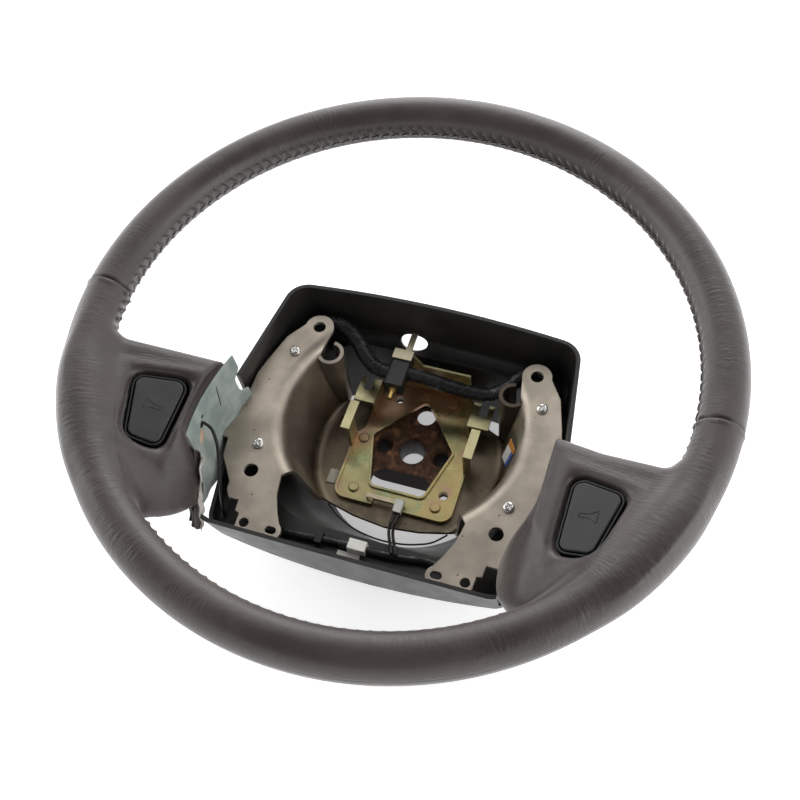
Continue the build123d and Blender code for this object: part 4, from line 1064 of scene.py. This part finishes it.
def zinc_finish(settings):
    """Yellow passivated zinc, all drifting: olive in front, gold on the right, copper on the left and back.

    The raised tabs are a brighter olive.
    """
    finish = Finish("yellow_zinc", settings.zinc, 0.32, 0.9)
    finish.softened(0.4)
    drift = finish.noise(24, 3)
    film = finish.noise(9, 4)
    shift = finish.math("MULTIPLY", finish.math("SUBTRACT", drift, 0.5), ZINC_DRIFT * MM)
    right, back = finish.axis("X"), finish.axis("Y")
    turned = finish.math("SUBTRACT", back, finish.math("MULTIPLY", right, 0.8))
    gold = finish.zone(finish.math("ADD", right, shift), *ZINC_GOLD, 0, 0.8)
    copper = finish.zone(finish.math("ADD", turned, shift), *ZINC_COPPER, 0, 0.85)
    tone = finish.mix(finish.step(drift, 0.38, 0.62), (0.34, 0.35, 0.18), settings.zinc)
    tone = finish.mix(gold, tone, (0.60, 0.46, 0.20))
    tone = finish.mix(copper, tone, (0.62, 0.36, 0.23))
    tone = finish.mix(finish.step(film, 0.54, 0.7, 0, 0.7), tone, (0.60, 0.37, 0.29))
    tone = finish.mix(finish.step(film, 0.30, 0.42, 0.5, 0), tone, (0.34, 0.42, 0.25))
    tone = finish.mix(finish.zone("Z", *ZINC_TABS, 0, 0.85), tone, (0.66, 0.62, 0.36))
    finish.colour(tone)
    finish.rough(finish.step(film, 0.3, 0.7, 0.26, 0.42))
    finish.raised(finish.noise(2, 3), 0.03)
    return finish.material


def rust_finish(settings):
    """Rusted boss: scaly brown crust with orange bloom on its face, and painted shade below the face, down
    into its holes.
    """
    finish = Finish("rusted_boss", settings.rust, 0.75, 0.1)
    colour = np.array(settings.rust)
    scale = finish.noise(4, 5)
    tone = finish.mix(finish.step(scale, 0.35, 0.65), tuple(colour * 0.45), settings.rust)
    tone = finish.mix(finish.step(finish.noise(7, 4), 0.54, 0.7), tone, (0.34, 0.16, 0.075))
    # Painted shade: near black below the hub's face and inside its holes.
    inside = finish.zone("Z", *HUB_PAINTED_SHADE, 0.94, 0)
    finish.colour(finish.mix(inside, tone, (0.010, 0.006, 0.005)))
    finish.raised(scale, 0.5)
    return finish.material


def tape_finish():
    """Wound tape: black, with soft folds and sharp glints."""
    finish = Finish("harness_tape", (0.014, 0.014, 0.015), 0.28)
    fold = finish.noise(5, 4, (1.6, 1, 1))
    finish.rough(finish.step(fold, 0.3, 0.7, 0.2, 0.45))
    finish.raised(fold, 1.6)
    finish.raised(finish.noise(1.4, 2), 0.1)
    return finish.material


def plain_finish(name, colour, roughness, metallic=0.0, grain=1.2, depth=0.04, spread=0.12):
    """Moulded or drawn surface: one colour that drifts a little, with a fine texture."""
    finish = Finish(name, colour, roughness, metallic)
    finish.softened(0.5)
    base = np.array(colour)
    drift = finish.noise(14, 3)
    darker, lighter = tuple(base * (1 - spread)), tuple(base * (1 + spread))
    finish.colour(finish.mix(finish.step(drift, 0.3, 0.7), darker, lighter))
    finish.rough(finish.step(drift, 0.3, 0.7, roughness - 0.05, roughness + 0.05))
    finish.raised(finish.noise(grain, 2), depth)
    return finish.material


PLAIN_FINISHES = {
    "cover": ("cover_moulding", (0.019, 0.018, 0.017), 0.38),
    "button": ("button_moulding", (0.036, 0.035, 0.035), 0.48),
    "switch": ("switch_moulding", (0.012, 0.012, 0.012), 0.45),
    "foam": ("rim_foam", (0.03, 0.03, 0.03), 0.9),
    "dome": ("dome_rubber", (0.2, 0.2, 0.2), 0.7),
    "thread": ("stitch_thread", (0.30, 0.27, 0.26), 0.6),
    "ring_steel": ("ring_steel", (0.35, 0.35, 0.36), 0.4, 1.0),
    "screw": ("bright_plating", (0.82, 0.81, 0.78), 0.22, 1.0),
    "bracket": ("pale_zinc", (0.62, 0.56, 0.40), 0.34, 0.9),
    "block": ("block_moulding", (0.015, 0.015, 0.015), 0.35),
    "brass": ("dull_brass", (0.62, 0.42, 0.16), 0.3, 1.0),
    "spline": ("bore_steel", (0.10, 0.095, 0.09), 0.4, 0.8),
    "lead": ("lead_sleeve", (0.014, 0.014, 0.015), 0.35),
    "white_plastic": ("white_moulding", (0.74, 0.73, 0.68), 0.45),
    "cream": ("cream_moulding", (0.74, 0.64, 0.42), 0.45),
    "paper": ("paper_tag", (0.72, 0.71, 0.66), 0.85),
    "fibre": ("fibre_strip", (0.50, 0.46, 0.38), 0.85),
}


class WHEEL_OT_finishes(bpy.types.Operator):
    """Give every CAD node a node material for its slot"""

    bl_idname = "wheel.finishes"
    bl_label = "Finishes"

    def execute(self, context):
        metal = context.scene.wheel_metal
        made = {slot: plain_finish(*values) for slot, values in PLAIN_FINISHES.items()}
        made["leather"] = leather_finish(context.scene.wheel_leather)
        made["frame_steel"] = frame_finish(metal)
        made["zinc"] = zinc_finish(metal)
        made["hub"] = rust_finish(metal)
        made["flap"] = flap_finish()
        made["tape"] = tape_finish()
        for part in frame["record"]["subparts"]:
            mesh = frame["nodes"][part["node"]].data
            mesh.materials.clear()
            mesh.materials.append(made[part["material_slot"]])
        label = frame["nodes"]["right_label"].data
        label.materials.clear()
        label.materials.append(label_finish(*node_box("right_label")))
        return {"FINISHED"}


class WHEEL_OT_leather(bpy.types.Operator):
    """Build the padded skins of the rim and spokes"""

    bl_idname = "wheel.leather"
    bl_label = "Leather skins"

    def execute(self, context):
        settings = context.scene.wheel_leather
        finish = bpy.data.materials["rim_leather"]
        points, faces, uv, fold = upper_skin(settings)
        upper = mesh_object("upper_rim_skin", points, faces, finish, slot="leather", uv=uv, fold=fold)
        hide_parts("upper_leather")
        points, faces, uv, fold = lower_skin(settings)
        lower = mesh_object("lower_rim_skin", points, faces, finish, slot="leather", uv=uv, fold=fold)
        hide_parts("lower_leather", "rim_foam")
        return {"FINISHED"}


class WHEEL_OT_threads(bpy.types.Operator):
    """Build the threads of the upper rim's seam"""

    bl_idname = "wheel.threads"
    bl_label = "Stitch threads"

    def execute(self, context):
        points, faces = stitch_threads(context.scene.wheel_leather)
        mesh_object("stitch_threads", points, faces, bpy.data.materials["stitch_thread"], slot="leather")
        return {"FINISHED"}


class WHEEL_OT_flap(bpy.types.Operator):
    """Build the backing flap at the left spoke's end"""

    bl_idname = "wheel.flap"
    bl_label = "Left flap"

    def execute(self, context):
        finish = bpy.data.materials["flap_backing"]
        flap = mesh_object("left_flap_sheet", *flap_sheet(), finish, slot="flap", weld=True)
        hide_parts("end_flap_left")
        return {"FINISHED"}


class WHEEL_OT_torn(bpy.types.Operator):
    """Build the torn strip of leather by the left flap"""

    bl_idname = "wheel.torn"
    bl_label = "Torn strip"

    def execute(self, context):
        points, faces, fold = torn_strip()
        torn = torn_finish(context.scene.wheel_leather)
        mesh_object("torn_leather_strip", points, faces, torn, slot="leather", weld=True, fold=fold)
        return {"FINISHED"}


class WHEEL_OT_collar(bpy.types.Operator):
    """Build the front of the collar under the tray"""

    bl_idname = "wheel.collar"
    bl_label = "Collar front"

    def execute(self, context):
        finish = bpy.data.materials["cover_moulding"]
        mesh_object("collar_front", *collar_front(), finish, slot="cover", weld=True)
        return {"FINISHED"}


class WHEEL_OT_bore(bpy.types.Operator):
    """Build the splines in the hub's bore"""

    bl_idname = "wheel.bore"
    bl_label = "Bore splines"

    def execute(self, context):
        mesh_object("bore_splines", *bore_splines(), bpy.data.materials["bore_steel"], slot="hub")
        return {"FINISHED"}


class WHEEL_OT_screws(bpy.types.Operator):
    """Build the cross-recessed heads of the ear screws"""

    bl_idname = "wheel.screws"
    bl_label = "Screw heads"

    def execute(self, context):
        finish = bpy.data.materials["bright_plating"]
        heads = mesh_object("screw_heads", *screw_heads(), finish, slot="screw", weld=True)
        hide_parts("ear_screws")
        return {"FINISHED"}


class WHEEL_OT_horn(bpy.types.Operator):
    """Build the sign on each horn button and the rubber dome under it"""

    bl_idname = "wheel.horn"
    bl_label = "Horn signs and domes"

    def execute(self, context):
        plastic, rubber = [bpy.data.materials[name] for name in ("button_moulding", "dome_rubber")]
        for side, name in ((1, "right"), (-1, "left")):
            mesh_object(f"horn_sign_{name}", *horn_sign(side), plastic, f"button_{name}", "button")
            dome = mesh_object(f"rubber_dome_{name}", *horn_dome(side), rubber, slot="dome", weld=True)
            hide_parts(f"horn_dome_{name}")
            foot = button_point(side, 0, 0, DOME_BASE)
            out = button_point(side, 0, 0, 1) - button_point(side, 0, 0, 0)
            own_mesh(dome)
        return {"FINISHED"}


class WHEEL_OT_stage(bpy.types.Operator):
    """Set up the floor, world, dark card, lamps and camera"""

    bl_idname = "wheel.stage"
    bl_label = "Studio"

    def execute(self, context):
        scene = context.scene
        settings = scene.wheel_stage
        scene.view_settings.view_transform = "Standard"
        self.floor(scene, settings)
        self.world(scene, settings)
        self.card(scene)
        for name, (place, share) in LAMPS.items():
            self.lamp(scene, name, place, share * settings.key)
        camera = bpy.data.objects.new("camera", bpy.data.cameras.new("camera"))
        camera.data.lens = CAMERA_LENS
        camera.data.sensor_width = CAMERA_SENSOR
        camera.location = CAMERA_PLACE
        camera.rotation_euler = [math.radians(turn) for turn in CAMERA_TURN]
        scene.collection.objects.link(camera)
        scene.camera = camera
        return {"FINISHED"}

    def floor(self, scene, settings):
        """Flat floor under the part, which shows white to the camera and keeps the shadow."""
        level = CAD_BOX[0][2]
        mesh = bpy.data.meshes.new("floor")
        sides = [(-1, -1), (1, -1), (1, 1), (-1, 1)]
        corners = [(FLOOR_HALF * x, FLOOR_HALF * y, level) for x, y in sides]
        mesh.from_pydata(corners, [], [(0, 1, 2, 3)])
        finish = bpy.data.materials.new("floor")
        finish.use_nodes = True
        tree = finish.node_tree
        shader = tree.nodes["Principled BSDF"]
        shader.inputs["Base Color"].default_value = (*settings.floor, 1)
        shader.inputs["Roughness"].default_value = 0.9
        shader.inputs["Emission Color"].default_value = (1, 1, 1, 1)
        self.seen_as(tree, shader.inputs["Emission Strength"], 0.0, FLOOR_GLOW)
        mesh.materials.append(finish)
        ground = bpy.data.objects.new("floor", mesh)
        scene.collection.objects.link(ground)

    def seen_as(self, tree, socket, unseen, seen):
        """Set a socket to one value where it is seen, also in a reflection, and else to another."""
        light = tree.nodes.new("ShaderNodeLightPath")
        most = light.outputs["Is Camera Ray"]
        for way in ("Is Glossy Ray", "Is Transmission Ray"):
            larger = tree.nodes.new("ShaderNodeMath")
            larger.operation = "MAXIMUM"
            tree.links.new(most, larger.inputs[0])
            tree.links.new(light.outputs[way], larger.inputs[1])
            most = larger.outputs[0]
        between = tree.nodes.new("ShaderNodeMapRange")
        between.inputs["To Min"].default_value = unseen
        between.inputs["To Max"].default_value = seen
        tree.links.new(most, between.inputs["Value"])
        tree.links.new(between.outputs[0], socket)

    def card(self, scene):
        """Dark round card high behind the camera, which leaves the sides that face it dark."""
        aim, across, up = np.array([CARD_AIM, CARD_ACROSS, CARD_UP])
        turn = np.linspace(0, 2 * math.pi, CARD_SIDES, endpoint=False)[:, None]
        edge = CARD_AWAY * aim + CARD_R * (np.cos(turn) * across + np.sin(turn) * up)
        mesh = bpy.data.meshes.new("card")
        mesh.from_pydata(edge.tolist(), [], [range(CARD_SIDES)])
        finish = bpy.data.materials.new("card")
        finish.use_nodes = True
        shader = finish.node_tree.nodes["Principled BSDF"]
        shader.inputs["Base Color"].default_value = (CARD_GREY, CARD_GREY, CARD_GREY, 1)
        mesh.materials.append(finish)
        card = bpy.data.objects.new("card", mesh)
        scene.collection.objects.link(card)

    def world(self, scene, settings):
        """Even light from all round, white where the camera or a reflection looks past the floor."""
        world = bpy.data.worlds.new("studio")
        scene.world = world
        world.use_nodes = True
        tree = world.node_tree
        background = tree.nodes["Background"]
        background.inputs["Color"].default_value = (1, 1, 1, 1)
        self.seen_as(tree, background.inputs["Strength"], settings.fill, 1.0)

    def lamp(self, scene, name, place, power):
        """Square area lamp that faces the middle of the rim."""
        data = bpy.data.lights.new(name, "AREA")
        data.energy = power
        data.size = LAMP_SIZE
        lamp = bpy.data.objects.new(name, data)
        lamp.location = place
        aim = np.subtract((0, 0, RIM_Z * MM), place)
        turn = math.atan2(aim[1], aim[0])
        lamp.rotation_euler = (math.atan2(np.hypot(aim[0], aim[1]), -aim[2]), 0, turn - math.pi / 2)
        scene.collection.objects.link(lamp)


class WHEEL_PT_panel(bpy.types.Panel):
    """Sidebar panel with the dressing's settings and steps"""

    bl_idname = "WHEEL_PT_panel"
    bl_label = "Steering wheel"
    bl_space_type = "VIEW_3D"
    bl_region_type = "UI"
    bl_category = "Wheel"

    def draw(self, context):
        scene = context.scene
        for settings in (scene.wheel_leather, scene.wheel_metal, scene.wheel_stage):
            for name in settings.__annotations__:
                self.layout.prop(settings, name)
        for operator in OPERATORS:
            self.layout.operator(operator.bl_idname)


SETTINGS = {"wheel_leather": LeatherSettings, "wheel_metal": MetalSettings, "wheel_stage": StageSettings}
OPERATORS = [
    WHEEL_OT_stage,
    WHEEL_OT_finishes,
    WHEEL_OT_leather,
    WHEEL_OT_threads,
    WHEEL_OT_flap,
    WHEEL_OT_torn,
    WHEEL_OT_collar,
    WHEEL_OT_bore,
    WHEEL_OT_screws,
    WHEEL_OT_horn,
]


def register():
    for group in SETTINGS.values():
        bpy.utils.register_class(group)
    for name, group in SETTINGS.items():
        setattr(bpy.types.Scene, name, PointerProperty(type=group))
    for shown in OPERATORS + [WHEEL_PT_panel]:
        bpy.utils.register_class(shown)


def unregister():
    for shown in reversed(OPERATORS + [WHEEL_PT_panel]):
        bpy.utils.unregister_class(shown)
    for name, group in SETTINGS.items():
        delattr(bpy.types.Scene, name)
        bpy.utils.unregister_class(group)


def main():
    register()
    for operator in OPERATORS:
        group, name = operator.bl_idname.split(".")
        getattr(getattr(bpy.ops, group), name)()


if __name__ == "__main__":
    main()
